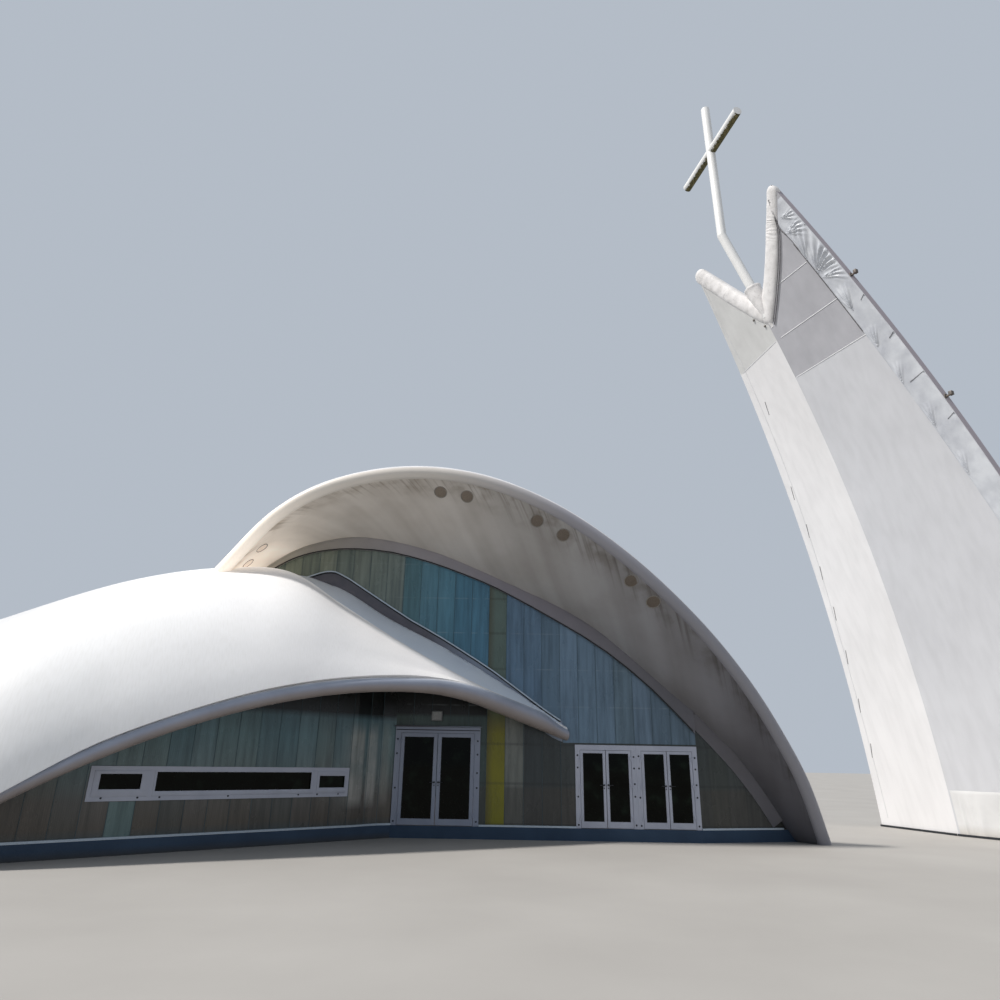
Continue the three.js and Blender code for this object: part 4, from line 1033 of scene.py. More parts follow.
wing_rim_coat = new_finish("dusty_wing_rim_with_painted_shade", 0.45, specular=0.3)
dust = mottle(wing_rim_coat, 0.5, 6)
# Painted light and shade by which way the rim faces: white on top, blue-grey on its face and brown-grey
# underneath.
cast = graded(wing_rim_coat, ranged(wing_rim_coat, facing(wing_rim_coat, (0, 0, 1)), -0.8, 0.9),
              (0.0, 142, 134, 131), (0.3, 146, 142, 145), (0.55, 150, 155, 170), (0.82, 152, 160, 176),
              (0.94, 182, 188, 200), (1.0, 228, 229, 231))
cast = stained(wing_rim_coat, cast, 0.35, dust, (0.3, 216, 214, 212), (0.65, *white))
set_look(wing_rim_coat, cast, (dust, 0.36, 0.52), mottle(wing_rim_coat, 0.3, 3), 0.004)
places = [wing_length * k / wing_rim_steps for k in range(wing_rim_steps + 1)]
roll = swept_tube([(wing_edge(place), wing_radius(place)) for place in places], 32, wing_way.to_3d())
make_piece("wing_rim_roll", "rim_edge", trim(roll, (0, glass_behind, 0), (0, 1, 0)), wing_rim_coat,
           stands_for=["wing_rim"])


# The wing's wall slants forwards from the hall's doors to the left, with the same ribbed panels
# between a plinth sill and the rim. It turns the corner to the doors in narrow curved panels.
wing_wall_start, wing_wall_end = Vector((-8.69, -14.47, 0)), Vector((-2.408, -8.817, 0))
wing_wall_way = (wing_wall_end - wing_wall_start).normalized()
wing_wall_out = Vector((wing_wall_way.y, -wing_wall_way.x, 0))
wing_pitch, wing_first_joint = 0.503, 0.275
odd_bay = 5.5
window_from, window_to, window_low, window_high = 2.33, 8.3, 1.01, 1.68
corner_plan = [wing_wall_end, Vector((-2.13, -8.46, 0)), Vector((-1.85, -8.19, 0)),
               Vector((-1.507, -8.0, 0))]


def wing_run(finish):
    return along_wall(finish, wing_wall_start + wing_wall_way * wing_first_joint, wing_wall_way)


def wing_colours(finish, high):
    """Brown-grey below the window, teal above it, and the rim's shade painted near black over the top.
    The last bays before the corner carry pale painted sheens, painted reflections, and one low bay
    is a paler panel."""
    lower = graded(finish, ranged(finish, high, 0.3, 1.0), (0.0, 76, 84, 86), (0.3, 92, 86, 79),
                   (1.0, 98, 95, 91))
    # Painted shade: the top stops are near black under the rim.
    upper = graded(finish, ranged(finish, high, 1.6, 3.4), (0.0, 110, 127, 129), (0.45, 102, 132, 139),
                   (0.7, 94, 122, 131), (0.79, 24, 30, 33), (1.0, 16, 19, 20))
    look = mixed(finish, ranged(finish, high, 1.0, 1.6), lower, upper)
    far = wing_run(finish)
    # Painted reflections: pale sheens on the bays before the corner.
    sheens = [(0.0, 0.0), (0.2, 0.14), (0.3, 0.04), (0.43, 0.25), (0.461, 0.7), (0.63, 0.6), (0.652, 0.03),
              (0.678, 0.04), (0.7, 0.62), (0.805, 0.54), (0.835, 0.02), (0.868, 0.06), (0.9, 0.36),
              (0.95, 0.28), (1.0, 0.0)]
    lit = measured(finish, ranged(finish, far, 7.0, 9.3), sheens)
    lit = times(finish, lit, ranged(finish, high, 2.85, 2.45), ranged(finish, high, 0.7, 0.95),
                ranged(finish, mottle(finish, 0.5, 3), 0.3, 0.6, 0.55, 1.0))
    look = mixed(finish, lit, look, tint(188, 186, 180))
    off_bay = worked(finish, "ABSOLUTE", worked(finish, "SUBTRACT", far, odd_bay * wing_pitch))
    in_bay = worked(finish, "LESS_THAN", off_bay, 0.5 * wing_pitch)
    return mixed(finish, times(finish, in_bay, worked(finish, "LESS_THAN", high, 1.0)), look,
                 tint(104, 128, 130))


wing_tones = [(0.0, 222, 230, 232), (0.2, 248, 246, 240), (0.4, 216, 230, 234), (0.6, *white),
              (0.8, 234, 229, 222)]
wing_panels = panel_finish("translucent_wing_panels", wing_run, wing_pitch, wing_tones, wing_colours, 0.0)
wing_wall_parts = ("left", "below_window", "above_window", "right", "corner")
wing_wall_nodes = [f"wing_wall_{part}" for part in wing_wall_parts]
wear(wing_panels, *wing_wall_nodes)

wing_joints = bmesh.new()
find_wall = probe(*wing_wall_nodes)


def wing_wall_top(spot, out):
    """How high the wing's wall is at a spot of its face."""
    inside = spot - out * 0.03
    top = find_wall((inside.x, inside.y, 8), downwards)
    return top.z if top else None


for k in range(-2, 17):
    along = wing_first_joint + k * wing_pitch
    spot = wing_wall_start + wing_wall_way * along
    top = wing_wall_top(spot, wing_wall_out) if along <= (wing_wall_end - wing_wall_start).length else None
    if top:
        spans = [(floor_top, top)]
        if window_from < along < window_to:
            spans = [(floor_top, window_low), (window_high, top)]
        for low, high in spans:
            if high > low + 0.02:
                seat = spot + wing_wall_out * 0.001
                joint_strip(wing_joints, seat.x, seat.y, low, high, wing_wall_way)
for before, spot, after in zip(corner_plan, corner_plan[1:], corner_plan[2:]):
    way = (after - before).normalized()
    joint_strip(wing_joints, spot.x, spot.y, floor_top, wing_wall_top(spot, Vector((way.y, -way.x, 0))),
                way)
make_piece("wing_wall_joints", "wall_panel", wing_joints, joint_shade)

wing_sill_out = wing_wall_out * 0.03
sill_plan = [wing_wall_start - wing_wall_way * 0.2 + wing_sill_out, wing_wall_end + wing_sill_out]
sill_plan += [spot + Vector((0.02, -0.022, 0)) for spot in corner_plan[1:3]]
sill_plan.append(Vector((-1.51, sill_line, 0)))
wing_sill = sill_bar([(p.x, p.y) for p in sill_plan], Vector((0.6, -0.8, 0)))
make_piece("sill_wing", "door_metal", wing_sill, pale_sill)


# Doors and windows are pale powder-coated aluminium. The strip window in the wing's wall has a
# long fixed pane between two small sashes that open outwards, and dark glass throughout.
window_border, window_proud, sash_proud = 0.09, 0.025, 0.018
powder_coat = new_finish("pale_powder_coat", 0.42, 0.15)
cloud = mottle(powder_coat, 0.5, 6, (1, 1, 0.5))
cast = graded(powder_coat, cloud, (0.3, 160, 164, 178), (0.7, 174, 178, 191))
# Painted shade: frames by the tall door, under the wing, are painted darker.
cast = stained(powder_coat, cast, 1.0, ranged(powder_coat, axis(powder_coat, "X"), -3.0, 3.4),
               (0.15, *white), (0.25, 206, 212, 220), (0.6, 206, 212, 220), (0.97, *white))
set_look(powder_coat, cast, (cloud, 0.36, 0.5), mottle(powder_coat, 0.006, 3), 0.0006)
dark_glass = new_finish("dark_tinted_glass", 0.04, specular=0.08)
haze = mottle(dark_glass, 0.4, 5)
# Painted reflection: greenish patches in the dark glass.
cast = graded(dark_glass, haze, (0.3, 3, 4, 2), (0.55, 8, 12, 8), (0.75, 24, 34, 26))
set_look(dark_glass, cast, (haze, 0.03, 0.08), haze, 0.0005)
fixing_metal = plain_finish("dark_fixing", 0.5, (0.004, 3), (40, 42, 46), (66, 68, 72), 0.0004, 0.6)
wear(powder_coat, "strip_window_frame")
wear(dark_glass, "strip_window_glass")

# Each pane: from and to along the window, and its frame's width at the left, right, foot and head.
panes = [(0.09, 1.155, 0.11, 0.155, 0.135, 0.06), (1.265, 4.985, 0.035, 0.065, 0.09, 0.02),
         (5.095, 5.88, 0.055, 0.03, 0.12, 0.1)]


def picture_frame(wide, high, borders, depth, round_by=0.004):
    """A flat ring of metal, its outer size wide by high, lying on the ground plane and facing up.
    Its borders are the widths at the left, right, foot and head."""
    ring = bmesh.new()
    bmesh.ops.create_grid(ring, x_segments=1, y_segments=1, size=0.5)
    bmesh.ops.scale(ring, verts=ring.verts[:], vec=(wide, high, 1))
    bmesh.ops.inset_region(ring, faces=ring.faces[:], thickness=0.01, use_boundary=True)
    inner = min(ring.faces, key=lambda face: face.calc_center_median().length)
    for vert in inner.verts:
        vert.co.x = wide / 2 - borders[1] if vert.co.x > 0 else borders[0] - wide / 2
        vert.co.y = high / 2 - borders[3] if vert.co.y > 0 else borders[2] - high / 2
    bmesh.ops.delete(ring, geom=[inner], context="FACES_ONLY")
    raise_faces(ring, depth)
    bmesh.ops.recalc_face_normals(ring, faces=ring.faces[:])
    round_off(ring, ring.edges[:], round_by)
    return ring


def on_wall(spot, way, out):
    """Where a flat piece stands up at the spot: its X along the wall, its Z outwards."""
    return Matrix.Translation(spot) @ Matrix((way, Vector((0, 0, 1)), out)).transposed().to_4x4()


def stood_up(body, spot, way, out):
    bmesh.ops.transform(body, matrix=on_wall(spot, way, out), verts=body.verts[:])
    return body


def knob(body, spot, way, out, radius, proud=0.012):
    """A small round-headed fixing on a face."""
    placed = on_wall(spot, way, out) @ Matrix.Diagonal((radius, radius, proud, 1))
    bmesh.ops.create_uvsphere(body, u_segments=12, v_segments=8, radius=1, matrix=placed)


window_face = wing_wall_start + wing_wall_way * window_from + wing_wall_out * window_proud
window_middle = Vector((0, 0, (window_low + window_high) / 2))
for k, (left, right, *borders) in enumerate(panes):
    wide, tall = right - left + 0.02, window_high - window_low - 2 * window_border + 0.02
    spot = window_face + wing_wall_way * ((left + right) / 2) + window_middle - wing_wall_out * 0.008
    sash = picture_frame(wide, tall, [border + 0.01 for border in borders], sash_proud)
    stood_up(sash, spot, wing_wall_way, wing_wall_out)
    make_piece(f"strip_window_sash_{k + 1}", "door_metal", sash, powder_coat)
fixings = bmesh.new()
for along in (0.28, 0.98, 1.42, 2.9, 4.62, 5.12, 5.7):
    spot = window_face + wing_wall_way * along + Vector((0, 0, window_low + 0.062))
    knob(fixings, spot, wing_wall_way, wing_wall_out, 0.022)
make_piece("strip_window_fixings", "door_metal", fixings, fixing_metal)


# Each doorway has a wide frame and two glazed leaves on barrel hinges. Round covers hide the
# frame's fixings, a bead holds the glass, and the leaves meet at a lock with a lever handle.
bead_wide, bead_deep, bead_rounding = 0.014, 0.01, 0.003
lever_reach, lever_high, lever_in = 0.13, 1.05, 0.045
cover_in, cover_radius = 0.065, 0.025
left_covers, right_covers = (0.04, 0.37, 0.72, 0.87), (0.045, 0.38, 0.53, 0.72, 0.86)


def join(body, part):
    """Adds a part to a body, and drops the part."""
    mesh = bpy.data.meshes.new("part")
    part.to_mesh(mesh)
    part.free()
    body.from_mesh(mesh)
    bpy.data.meshes.remove(mesh)


def handle(at_left):
    """A round rose, a neck and a lever that points away from the meeting edge, facing up. A lock
    sits below."""
    side = -1 if at_left else 1
    grip = bmesh.new()
    stub(grip, 24, 0.026, 0.024, 0.01, (0, 0, 0.005))
    stub(grip, 16, 0.01, 0.01, 0.05, (0, 0, 0.03))
    line = ((0, 0.048, 0.01), (0.03, 0.055, 0.0105), (0.08, 0.055, 0.01), (lever_reach, 0.052, 0.009))
    join(grip, swept_tube([(Vector((side * far, 0, out)), radius) for far, out, radius in line], 12))
    stub(grip, 20, 0.016, 0.015, 0.01, (0, -0.075, 0.005))
    return grip


covers = bmesh.new()
for name, (low, high) in door_heads.items():
    wear(powder_coat, f"{name}_frame")
    for x, shares in ((low.x + cover_in, left_covers), (high.x - cover_in, right_covers)):
        for share in shares:
            spot = Vector((x, wall_face - 0.04, low.z + (high.z - low.z) * share))
            knob(covers, spot, to_right, to_front, cover_radius)
    for side in ("left", "right"):
        body = f"{name}_{side}"
        wear(powder_coat, f"{body}_leaf")
        wear(dark_glass, f"{body}_glass")
        leaf_low, leaf_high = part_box(f"{body}_leaf")
        pane_low, pane_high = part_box(f"{body}_glass")
        pane, middle = pane_high - pane_low, (pane_low + pane_high) / 2
        bead = picture_frame(pane.x + 0.001, pane.z + 0.001, [bead_wide] * 4, bead_deep, bead_rounding)
        stood_up(bead, Vector((middle.x, pane_low.y, middle.z)), to_right, to_front)
        make_piece(f"{body}_glazing_bead", "door_metal", bead, gasket, body=body)
        meeting = leaf_high.x - lever_in if side == "left" else leaf_low.x + lever_in
        seat = Vector((meeting, wall_face - 0.034, floor_top + lever_high))
        lever = stood_up(handle(side == "left"), seat, to_right, to_front)
        make_piece(f"{body}_lever", "door_metal", lever, fixing_metal, body=body)
make_piece("door_frame_covers", "door_metal", covers, fixing_metal)

# A thin drip cap of dark sheet shelters the tall door's head, and a square lamp hangs over it: a
# grey housing with a frosted face. Below its pale lip a thin black bar is painted shade, standing
# for the dark reveal.
low, high = door_heads["door_1"]
cap = bmesh.new()
middle = Matrix.Translation(((low.x + high.x) / 2, wall_face - 0.05, high.z + 0.018))
round_off(cap, block(cap, middle, (high.x - low.x + 0.06, 0.1, 0.026)), 0.006)
make_piece("door_1_drip_cap", "flashing", cap, flash_sheet)
# Painted shade: a black bar for the reveal's groove.
reveal = [Vector((x, wall_face - 0.04, high.z - 0.075)) for x in (low.x + 0.01, high.x - 0.01)]
make_piece("door_1_head_reveal", "door_metal", swept_bar(reveal, 0.006, 0.022, to_front), gasket)
housing_metal = plain_finish("grey_lamp_housing", 0.45, (0.08, 5), (92, 94, 96), (112, 114, 116), 0.001,
                             0.4)
frosted = plain_finish("frosted_lamp_face", 0.5, (0.05, 4), (140, 142, 142), (158, 160, 160), 0.0005,
                       specular=0.4)
low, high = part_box("door_light_box")
housing = bmesh.new()
block(housing, Matrix.Translation((low + high) / 2), high - low)
face = min(housing.faces, key=lambda f: f.calc_center_median().y)
round_off(housing, face.edges[:], 0.01)
face = min(housing.faces, key=lambda f: f.calc_center_median().y)
bmesh.ops.inset_individual(housing, faces=[face], thickness=0.018, depth=0.0)
bmesh.ops.inset_individual(housing, faces=[face], thickness=0.004, depth=-0.01)
face.material_index = 1
make_piece("door_lamp", "lamp", housing, housing_metal, frosted, stands_for=["door_light_box"])


# The tower is two tall faces of white membrane over a steel frame, which meet at a shallow fold
# and lean towards the church. Each ends in a blade, with a deep notch between the two. The cloth
# is laced to the frame in level strips, and it is a single grey layer where the blades begin.
tower_valley, tower_left_peak, tower_right_peak = 16.77, 19.75, 19.95
tower_edge, tower_fold, tower_gap = 0.22, 0.8, 0.0004
tower_away = Vector((0.96, 0.28, 0))
to_viewer = -tower_away.normalized()
tower_rows, tower_columns = 120, 36
left_way, right_way = Vector((-0.194, 0.981, 0)), Vector((0.38, -0.925, 0))
single_layer_from = {"left": 15.92, "right": 14.555}


def fold_at(z):
    return Vector((15.286 - 0.1395 * z - 0.00889 * z * z, -4.624 - 0.1375 * z, z))


def left_width(z):
    return 3.35 - 0.0077 * z - 0.00304 * z * z


def right_width(z):
    return 6.43 - 0.1855 * z - 0.0002 * z * z


blades = {"left": (left_way, left_width, tower_left_peak),
          "right": (right_way, right_width, tower_right_peak)}


def on_face(side, z, part):
    """A point of a face at that height, from the fold, 0, to its outer edge, 1."""
    way, width, _ = blades[side]
    return fold_at(z) + way * (tower_gap + (width(z) - tower_gap) * part)


def top_at(side, part):
    return tower_valley + (blades[side][2] - tower_valley) * part


def thick_at(part):
    return tower_fold + (tower_edge - tower_fold) * part


def billow(z, part):
    """How far the cloth stands out between the fold and the edge."""
    return 0.02 * math.sin(math.pi * part) * math.sin(math.pi * min(z / 15, 1)) ** 2


def face_point(side, up, part, in_front):
    z = up * top_at(side, part)
    if in_front:
        return on_face(side, z, part) - tower_away * billow(z, part)
    return on_face(side, z, part) + tower_away * thick_at(part)


def drawn_sheet(rows, columns, place):
    """A raised sheet, drawn onto a front and a back that the place function gives."""
    sheet = raised_sheet(rows, columns)
    for vert in sheet.verts:
        vert.co = place(vert.co.x + 0.5, vert.co.y + 0.5, vert.co.z > 0.5)
    bmesh.ops.recalc_face_normals(sheet, faces=sheet.faces[:])
    return sheet


def tower_cloth(side, double_low, double_high, single_low, single_high):
    """White cloth with faint rain streaks, and greyer where it is a single layer. On the right face
    the cloth is painted greyer all over, and its outer side mauve-grey, both painted shade.
    """
    finish = new_finish(f"white_tower_cloth_{side}", 0.5, specular=0.3)
    dust = mottle(finish, 2.4, 6)
    double = graded(finish, dust, (0.3, *double_low), (0.7, *double_high))
    single = graded(finish, mottle(finish, 0.9, 4), (0.3, *single_low), (0.7, *single_high))
    edge = single_layer_from[side]
    look = mixed(finish, ranged(finish, axis(finish, "Z"), edge - 0.012, edge + 0.012), double, single)
    rain = mottle(finish, 0.25, 4, (1, 1, 0.04))
    look = stained(finish, look, 0.12, rain, (0.3, 190, 190, 190), (0.6, *white))
    # Painted shade: the right blade's outer side is painted mauve-grey.
    if side == "right":
        look = mixed(finish, ranged(finish, facing(finish, right_way), 0.6, 0.8), look, tint(158, 151, 157))
    set_look(finish, look, (dust, 0.42, 0.58), mottle(finish, 0.02, 2), 0.002)
    return finish


# Painted shade: the right face's tones are greyer than the left's.
cloths = {"left": tower_cloth("left", (220, 219, 220), (227, 226, 227), (198, 198, 197), (206, 206, 205)),
          "right": tower_cloth("right", (195, 196, 200), (203, 204, 208), (168, 168, 173), (178, 178, 183))}
for side, cloth in cloths.items():
    stretched = drawn_sheet(tower_rows, tower_columns, lambda *at: face_point(side, *at))
    make_piece(f"tower_{side}_membrane", "membrane", stretched, cloth, stands_for=[f"tower_{side}_face"])

# Along the notch the cloth is wrapped round padded tubes, which end in blunt rounded tips. Their
# cloth is drawn together with small cross folds where the strips below are laced on.
wrap_stands, wrap_thickest = 0.045, 0.42
wrap_rows, wrap_columns = 200, 26
wrap_ends = {"left": (-0.03, 1.02), "right": (-0.05, 1.0)}
gathers = {"right": [(0.66, 0.07), (0.74, 0.03)], "left": [(0.55, 0.015)]}
padding_cloth = new_finish("white_wrapped_padding", 0.55, specular=0.25)
fold_dust, stain = mottle(padding_cloth, 0.3, 6), mottle(padding_cloth, 0.07, 5)
cast = graded(padding_cloth, fold_dust, (0.3, 206, 204, 203), (0.65, 224, 222, 222))
cast = stained(padding_cloth, cast, 0.25, stain, (0.28, 150, 146, 140), (0.42, *white))
set_look(padding_cloth, cast, (fold_dust, 0.48, 0.66), stain, 0.004)


def notch_edge(side, share):
    """A point of the notch's edge, and the way out of the face across the edge."""
    shares = (share + 0.01, share, share - 0.01)
    ahead, edge, behind = [on_face(side, top_at(side, part), part) for part in shares]
    run, level = ahead - behind, blades[side][0]
    out = Vector((0, 0, 1)) * run.dot(level) - level * run.z
    return edge, out.normalized() * (1 if out.z > 0 else -1)


def wrap_point(side, along, across, in_front):
    """The wrap's outline is a flat oval round the blade's edge, drawn in at its two rounded ends."""
    first, last = wrap_ends[side]
    share = first + (last - first) * along
    edge, out = notch_edge(side, share)
    thick = min(thick_at(min(max(share, 0), 1)), wrap_thickest)
    end = math.sqrt(max(1 - (1 - min(along / 0.05, (1 - along) / 0.06, 1)) ** 2, 0.01))
    turn = (across - 0.5) * math.pi
    inside, outside = 0.24, 0.33
    if side == "right":
        inside = flowing([Vector((width, 0, 0)) for width in (0.36, 0.31, 0.28, 0.21, 0.2)], along).x
        outside = 0.44 - 0.16 * eased(share, 0.6, 1.0)
    off = (outside - inside) / 2 + (outside + inside) / 2 * math.sin(turn) * end
    deep = max((thick / 2 + wrap_stands) * math.cos(turn) ** 0.6, 0.012) * (0.4 + 0.6 * end)
    drawn_in = sum(math.exp(-((along - place) / reach) ** 2) for place, reach in gathers[side])
    ripple = math.sin(along * 250 + 5 * across + 5 * noise.noise(Vector((along * 30, across * 2, 1))))
    deep += 0.007 * drawn_in * ripple * math.cos(turn)
    deep += 0.012 * noise.noise(Vector((along * 22, across * 3, 5.0 if in_front else 9.0))) * math.cos(turn)
    return edge + tower_away * (thick / 2) + out * off + tower_away * (-deep if in_front else deep)


for side in gathers:
    padding = drawn_sheet(wrap_rows, wrap_columns, lambda *at: wrap_point(side, *at))
    wrap = make_piece(f"tower_{side}_notch_wrap", "membrane", padding, padding_cloth)

# The level weld lines of the single layer stand out as pale ribs. A finer weld runs down beside
# the left face's outer edge, with lacing slits in it about 1.4 m apart.
weld_tape = plain_finish("pale_weld_tape", 0.45, (0.2, 4), (196, 197, 199), (210, 211, 213), 0.001)
slit_shade = plain_finish("dark_lacing_slit", 0.8, (0.05, 4), (96, 94, 96), (126, 124, 126), 0.001)


def face_bar(body, side, stops, wide, proud, lift=0.004):
    """A flat bar lying on a face through stops, each a height and a part of the width."""
    stops = [flowing([Vector((*stop, 0)) for stop in stops], k / 40) for k in range(41)]
    spots = [on_face(side, s.x, s.y) + to_viewer * (billow(s.x, s.y) + lift) for s in stops]
    join(body, swept_bar(spots, proud, wide, to_viewer))


ribs = bmesh.new()
for z, from_part, to_part in ((17.375, 0.33, 0.75), (15.92, 0.06, 0.775), (14.555, 0.015, 0.8)):
    face_bar(ribs, "right", [(z, from_part), (z, to_part)], 0.024, 0.005)
face_bar(ribs, "left", [(15.92, 0.02), (15.92, 0.93)], 0.022, 0.005)
fine_weld = [(0.3 + 19.0 * k / 13, 0.885 + 0.03 * math.sin(k / 1.8) + 0.05 * (k > 11)) for k in range(14)]
face_bar(ribs, "left", fine_weld, 0.016, 0.004)
make_piece("tower_weld_ribs", "membrane", ribs, weld_tape)
slits = bmesh.new()
for z, part in ((14.37, 0.75), (11.4, 0.895), (10.0, 0.866), (8.51, 0.88), (7.08, 0.87), (5.58, 0.89),
                (3.95, 0.904), (2.46, 0.898)):
    face_bar(slits, "left", [(z + 0.23, part - 0.012), (z - 0.23, part + 0.012)], 0.026, 0.006)
make_piece("tower_lacing_slits", "membrane", slits, slit_shade)

# A loose strip of thin crinkled film covers the right blade's outer edge. It is tied back every
# 1.4 m along its inner hem, and folds fan out from each tie, widest from the one near the top.
film_rows, film_columns = 380, 40
film_low, film_high = 8.2, 19.45
film_hem_part, film_hem_widens, film_hem_from = 0.75, 0.0104, 18.7
cloth_thick, film_lift = 0.003, 0.004
edge_film = new_finish("crinkled_edge_film", 0.34, specular=0.4)
haze = mottle(edge_film, 0.45, 5)
cast = graded(edge_film, haze, (0.3, 178, 181, 188), (0.68, 202, 205, 210))
set_look(edge_film, cast, (haze, 0.26, 0.44), mottle(edge_film, 0.03, 3), 0.002)

# Each tie: its height and part of the width, the middle of its fan in turns from level to the
# right towards upright, how wide the fan opens, how far it reaches, its folds a turn and depth.
ties = [(16.85, 0.765, 0.1, 0.12, 1.6, 24, 0.075), (17.3, 0.755, 0.22, 0.06, 1.4, 26, 0.065),
        (16.7, 0.775, -0.05, 0.05, 1.2, 34, 0.04), (18.95, 0.83, -0.06, 0.07, 0.7, 26, 0.045),
        (18.45, 0.76, -0.03, 0.07, 0.9, 28, 0.05), (15.3, 0.83, 0.25, 0.055, 0.9, 30, 0.07),
        (14.0, 0.82, 0.23, 0.055, 0.7, 28, 0.05), (12.75, 0.82, 0.24, 0.055, 0.7, 28, 0.05),
        (11.25, 0.84, 0.26, 0.06, 0.8, 28, 0.052), (9.75, 0.855, 0.27, 0.06, 0.75, 28, 0.05)]


def film_place(along, across):
    """A height and part of the width on the film, from its inner hem, 0, to the blade's edge, 1."""
    z = film_low + (film_high - film_low) * along
    notch = (z - tower_valley) / (tower_right_peak - tower_valley)
    hem = max(film_hem_part + film_hem_widens * (film_hem_from - z), min(notch + 0.1, 0.985))
    return z, hem + (0.998 - hem) * across


def film_folds(z, part):
    """How far the film stands off the face: its fans of folds and a slight slackness all over."""
    level = part * right_width(z)
    slack = 0.02 + 0.012 * noise.noise(Vector((level * 1.6, 0, z * 1.6)))
    slack += 0.006 * noise.noise(Vector((level * 6, 3, z * 4)))
    for tie_z, tie_part, middle, opening, reach, folds, depth in ties:
        right, up = level - tie_part * right_width(tie_z), z - tie_z
        far = math.hypot(right, up)
        if 0.02 <= far <= reach:
            turn = math.atan2(up, right) / (2 * math.pi)
            fade = math.exp(-(abs(turn - middle) / opening) ** 4) * math.sin(math.pi * (far / reach) ** 0.6)
            wander = 2 * noise.noise(Vector((far * 3, turn * 9, 0)))
            slack += depth * fade * (0.5 + 0.5 * math.sin(turn * folds * 2 * math.pi + wander))
    return slack


def film_point(along, across, in_front):
    z, part = film_place(along, across)
    hem = min(across / 0.06, (1 - across) / 0.06, along / 0.012, (1 - along) / 0.012, 1)
    off = billow(z, part) + film_lift + (cloth_thick if in_front else 0) + film_folds(z, part) * hem
    return on_face("right", z, part) + to_viewer * off


film = make_piece("tower_edge_film", "membrane", drawn_sheet(film_rows, film_columns, film_point),
                  edge_film)

# Dark cords are sewn along the film's hem, beside the notch and across the film, and lashed over
# the blade's outer edge.
cord_shade = plain_finish("grey_sewn_cord", 0.7, (0.08, 5), (74, 72, 76), (118, 116, 118), 0.001)
notch_seam = ((19.63, 0.858), (19.23, 0.793), (18.79, 0.73), (17.97, 0.51), (17.26, 0.3), (16.47, 0.07))
sewn = bmesh.new()
face_bar(sewn, "right", [film_place(k / 40, 0.004) for k in range(23, 36)], 0.02, 0.024, 0.02)
for beside in (0.0, 0.09):
    face_bar(sewn, "right", [(z - beside, part) for z, part in notch_seam], 0.018, 0.02, 0.03)
face_bar(sewn, "right", [(18.7, 0.74), (18.2, 0.765), (17.6, 0.77)], 0.016, 0.02, 0.03)
for z, part in ((18.29, 0.84), (17.25, 0.96), (16.9, 0.96), (15.56, 0.975), (14.2, 0.97), (12.83, 0.9),
                (11.47, 0.97)):
    face_bar(sewn, "right", [(z - 0.1, part - 0.03), (z, 0.999)], 0.012, 0.014, 0.03)
make_piece("tower_sewn_cords", "membrane", sewn, cord_shade)

# A skirt of loose cloth hangs in soft upright folds over the right face's foot, and a steel angle
# holds both faces down to the ground.
skirt_rows, skirt_columns = 24, 220
skirt_low, skirt_high = 0.05, 1.29
skirt_folds = (0.35, 0.6, 0.95, 1.7, 2.6, 3.3, 4.1, 4.9, 5.6)
skirt_fold_deep = 0.035


def skirt_point(along, across, in_front):
    """The folds are shallow at the seam, deepen towards the foot and wander a little sideways."""
    z, part = skirt_low + (skirt_high - skirt_low) * along, 0.012 + 0.98 * across
    level = part * right_width(z)
    fold = 0.0
    for k, place in enumerate(skirt_folds):
        off = (level - place - 0.1 * (1 - along) * math.sin(k * 2.3)) / (0.045 + 0.03 * (k % 3))
        fold += skirt_fold_deep * math.exp(-off ** 2) * math.sin(math.pi * (1 - along) / 2)
    hem = min(across / 0.02, (1 - across) / 0.02, (1 - along) / 0.04, 1)
    stands = 0.012 + (cloth_thick if in_front else 0) + (0.01 + fold) * max(hem, 0)
    return on_face("right", z, part) + to_viewer * stands


skirt_cloth = new_finish("white_skirt_cloth", 0.55, specular=0.25)
dust = mottle(skirt_cloth, 0.6, 6)
mud = ranged(skirt_cloth, axis(skirt_cloth, "Z"), 0.0, 0.35)
cast = graded(skirt_cloth, dust, (0.3, 206, 206, 206), (0.7, 216, 216, 216))
cast = mixed(skirt_cloth, mud, tint(188, 184, 178), cast)
set_look(skirt_cloth, cast, (dust, 0.46, 0.62), mottle(skirt_cloth, 0.02, 2), 0.002)
skirt = make_piece("tower_foot_skirt", "membrane", drawn_sheet(skirt_rows, skirt_columns, skirt_point),
                   skirt_cloth)
angles = bmesh.new()
for side in blades:
    face_bar(angles, side, [(0.035, 0.004), (0.035, 0.998)], 0.06, 0.03, 0.06)
make_piece("tower_base_angles", "door_metal", angles, fixing_metal)

# Two small hooked brackets stand off the right blade's outer edge, and round rivets hold the cloth
# beside the pole's foot.
bracket_metal = plain_finish("weathered_bracket_steel", 0.6, (0.05, 6), (92, 90, 88), (120, 110, 102),
                             0.002, 0.5)
bracket_parts = {"plate": ((0, 0, 0), (0.02, 0.14, 0.16)), "arm": ((0.08, 0, 0), (0.16, 0.05, 0.05)),
                 "hook": ((0.16, 0, 0.03), (0.1, 0.12, 0.12))}
brackets = bmesh.new()
for z in (16.3, 12.0):
    root = on_face("right", z, 1.0) + tower_away * (tower_edge / 2)
    placed = Matrix.Translation(root) @ right_way.to_track_quat("X", "Z").to_matrix().to_4x4()
    for centre, size in bracket_parts.values():
        round_off(brackets, block(brackets, placed @ Matrix.Translation(centre), size), 0.008)
make_piece("tower_edge_brackets", "cross_metal", brackets, bracket_metal)
rivets = bmesh.new()
for z, part in ((16.98, 0.22), (16.55, 0.07)):
    knob(rivets, on_face("left", z, part) + to_viewer * 0.02, left_way, to_viewer, 0.045, 0.03)
make_piece("tower_left_rivets", "cross_metal", rivets, bracket_metal)


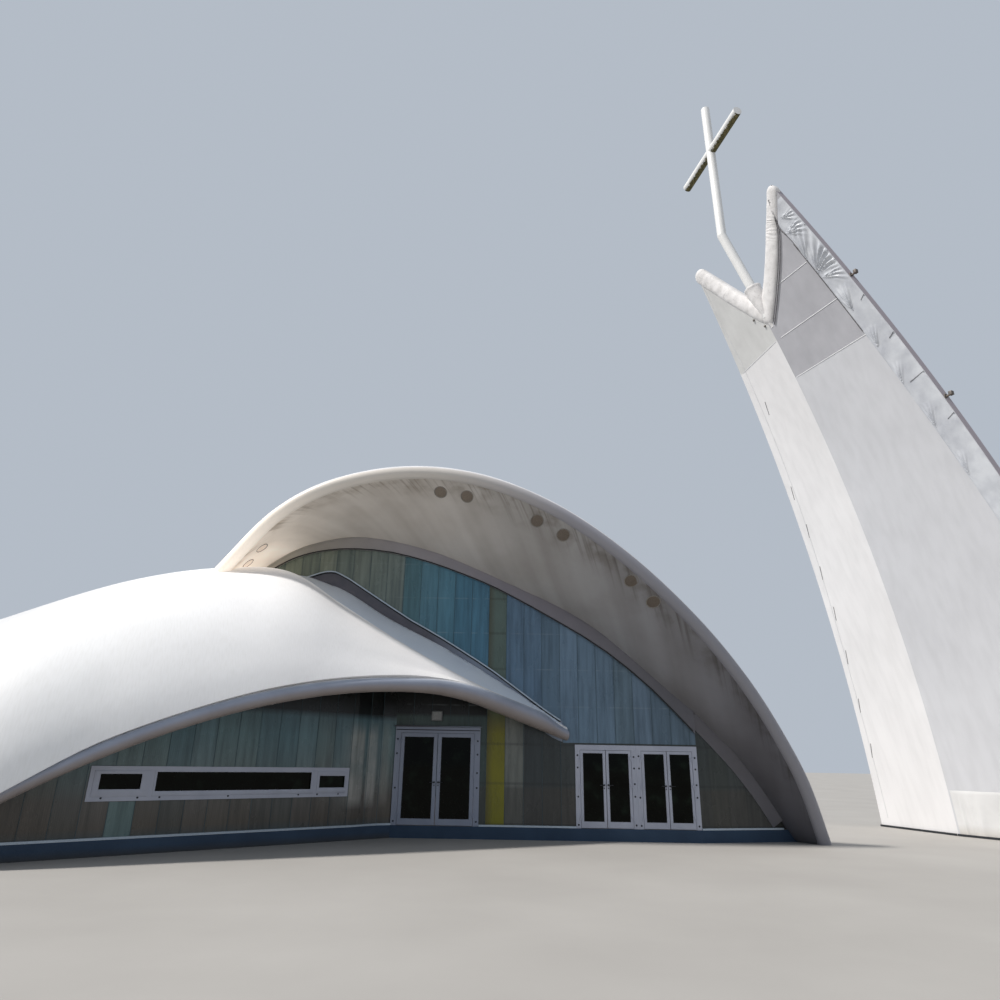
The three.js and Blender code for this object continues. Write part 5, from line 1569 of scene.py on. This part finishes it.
# The cross is a white painted steel tube. Its pole rises out of the notch and is mitred upright
# at a knee, and a level bar passes through it near the top. Algae grow under the bar.
cross_radius = 0.165
pole_foot, pole_knee = Vector((10.56, -6.95, 16.8)), Vector((9.25, -6.93, 20.31))
pole_top = Vector((9.14, -6.93, 26.52))
bar_middle, bar_way, bar_half = Vector((9.18, -6.93, 24.34)), Vector((0.225, -0.974, 0)), 1.95
cross_paint = new_finish("weathered_white_paint", 0.45, specular=0.4)
off_bar = worked(cross_paint, "SUBTRACT", axis(cross_paint, "Z"), bar_middle.z)
off_bar = worked(cross_paint, "ABSOLUTE", off_bar)
ragged = ranged(cross_paint, mottle(cross_paint, 0.08, 6), 0.3, 0.7, -0.16, 0.16)
below = worked(cross_paint, "ADD", facing(cross_paint, (0.17, 0.04, -0.985)), ragged)
on_bar = worked(cross_paint, "LESS_THAN", off_bar, 1.2 * cross_radius)
algae = times(cross_paint, ranged(cross_paint, below, 0.6, 0.76), on_bar)
paint = graded(cross_paint, mottle(cross_paint, 0.5, 7, (1, 1, 0.3)), (0.3, 214, 214, 213),
               (0.65, 228, 228, 227))
green = graded(cross_paint, mottle(cross_paint, 0.09, 5), (0.35, 58, 58, 30), (0.65, 104, 96, 62))
dulled = ranged(cross_paint, algae, 0.0, 1.0, 0.4, 0.8)
paint = mixed(cross_paint, algae, paint, green)
set_look(cross_paint, paint, dulled, mottle(cross_paint, 0.03, 4), 0.002)


def straight_tube(start, end):
    return swept_tube([(start.lerp(end, k / 12), cross_radius) for k in range(13)], 32)


lower_way, upper_way = (pole_knee - pole_foot).normalized(), (pole_top - pole_knee).normalized()
mitre = (lower_way + upper_way).normalized()
cross = bmesh.new()
join(cross, trim(straight_tube(pole_foot, pole_knee + lower_way * 0.2), pole_knee, mitre))
join(cross, trim(straight_tube(pole_knee - upper_way * 0.2, pole_top), pole_knee, -mitre))
join(cross, straight_tube(bar_middle - bar_way * bar_half, bar_middle + bar_way * bar_half))
make_piece("cross_tubes", "cross_metal", cross, cross_paint, stands_for=["cross"])

# A funnel of cloth is lashed round the pole's foot, so that no rain runs into the notch. Its mouth
# is hemmed, and the cloth is gathered where it meets the two blades' padding.
collar_stops = [(-0.12, 0.1), (-0.05, 0.14), (0.05, 0.19), (0.15, 0.23), (0.25, 0.27), (0.31, 0.29),
                (0.328, 0.304), (0.34, 0.3), (0.338, 0.28), (0.31, 0.25), (0.26, 0.21)]
collar_steps = 4 * (len(collar_stops) - 1)
crumple_deep, crumple_size = 0.022, 0.14
collar_line = []
for k in range(collar_steps + 1):
    place, radius, _ = flowing([Vector((*stop, 0)) for stop in collar_stops], k / collar_steps)
    collar_line.append((pole_foot.lerp(pole_knee, place) + tower_away * 0.02, radius))
collar = swept_tube(collar_line, 36, lower_way)
collar.normal_update()
for vert in collar.verts:
    spot = Vector((vert.co.x, vert.co.y, vert.co.z * 0.5)) / crumple_size
    vert.co += vert.normal * crumple_deep * noise.noise(spot)
funnel = make_piece("pole_foot_collar", "membrane", collar, padding_cloth, crease=50)
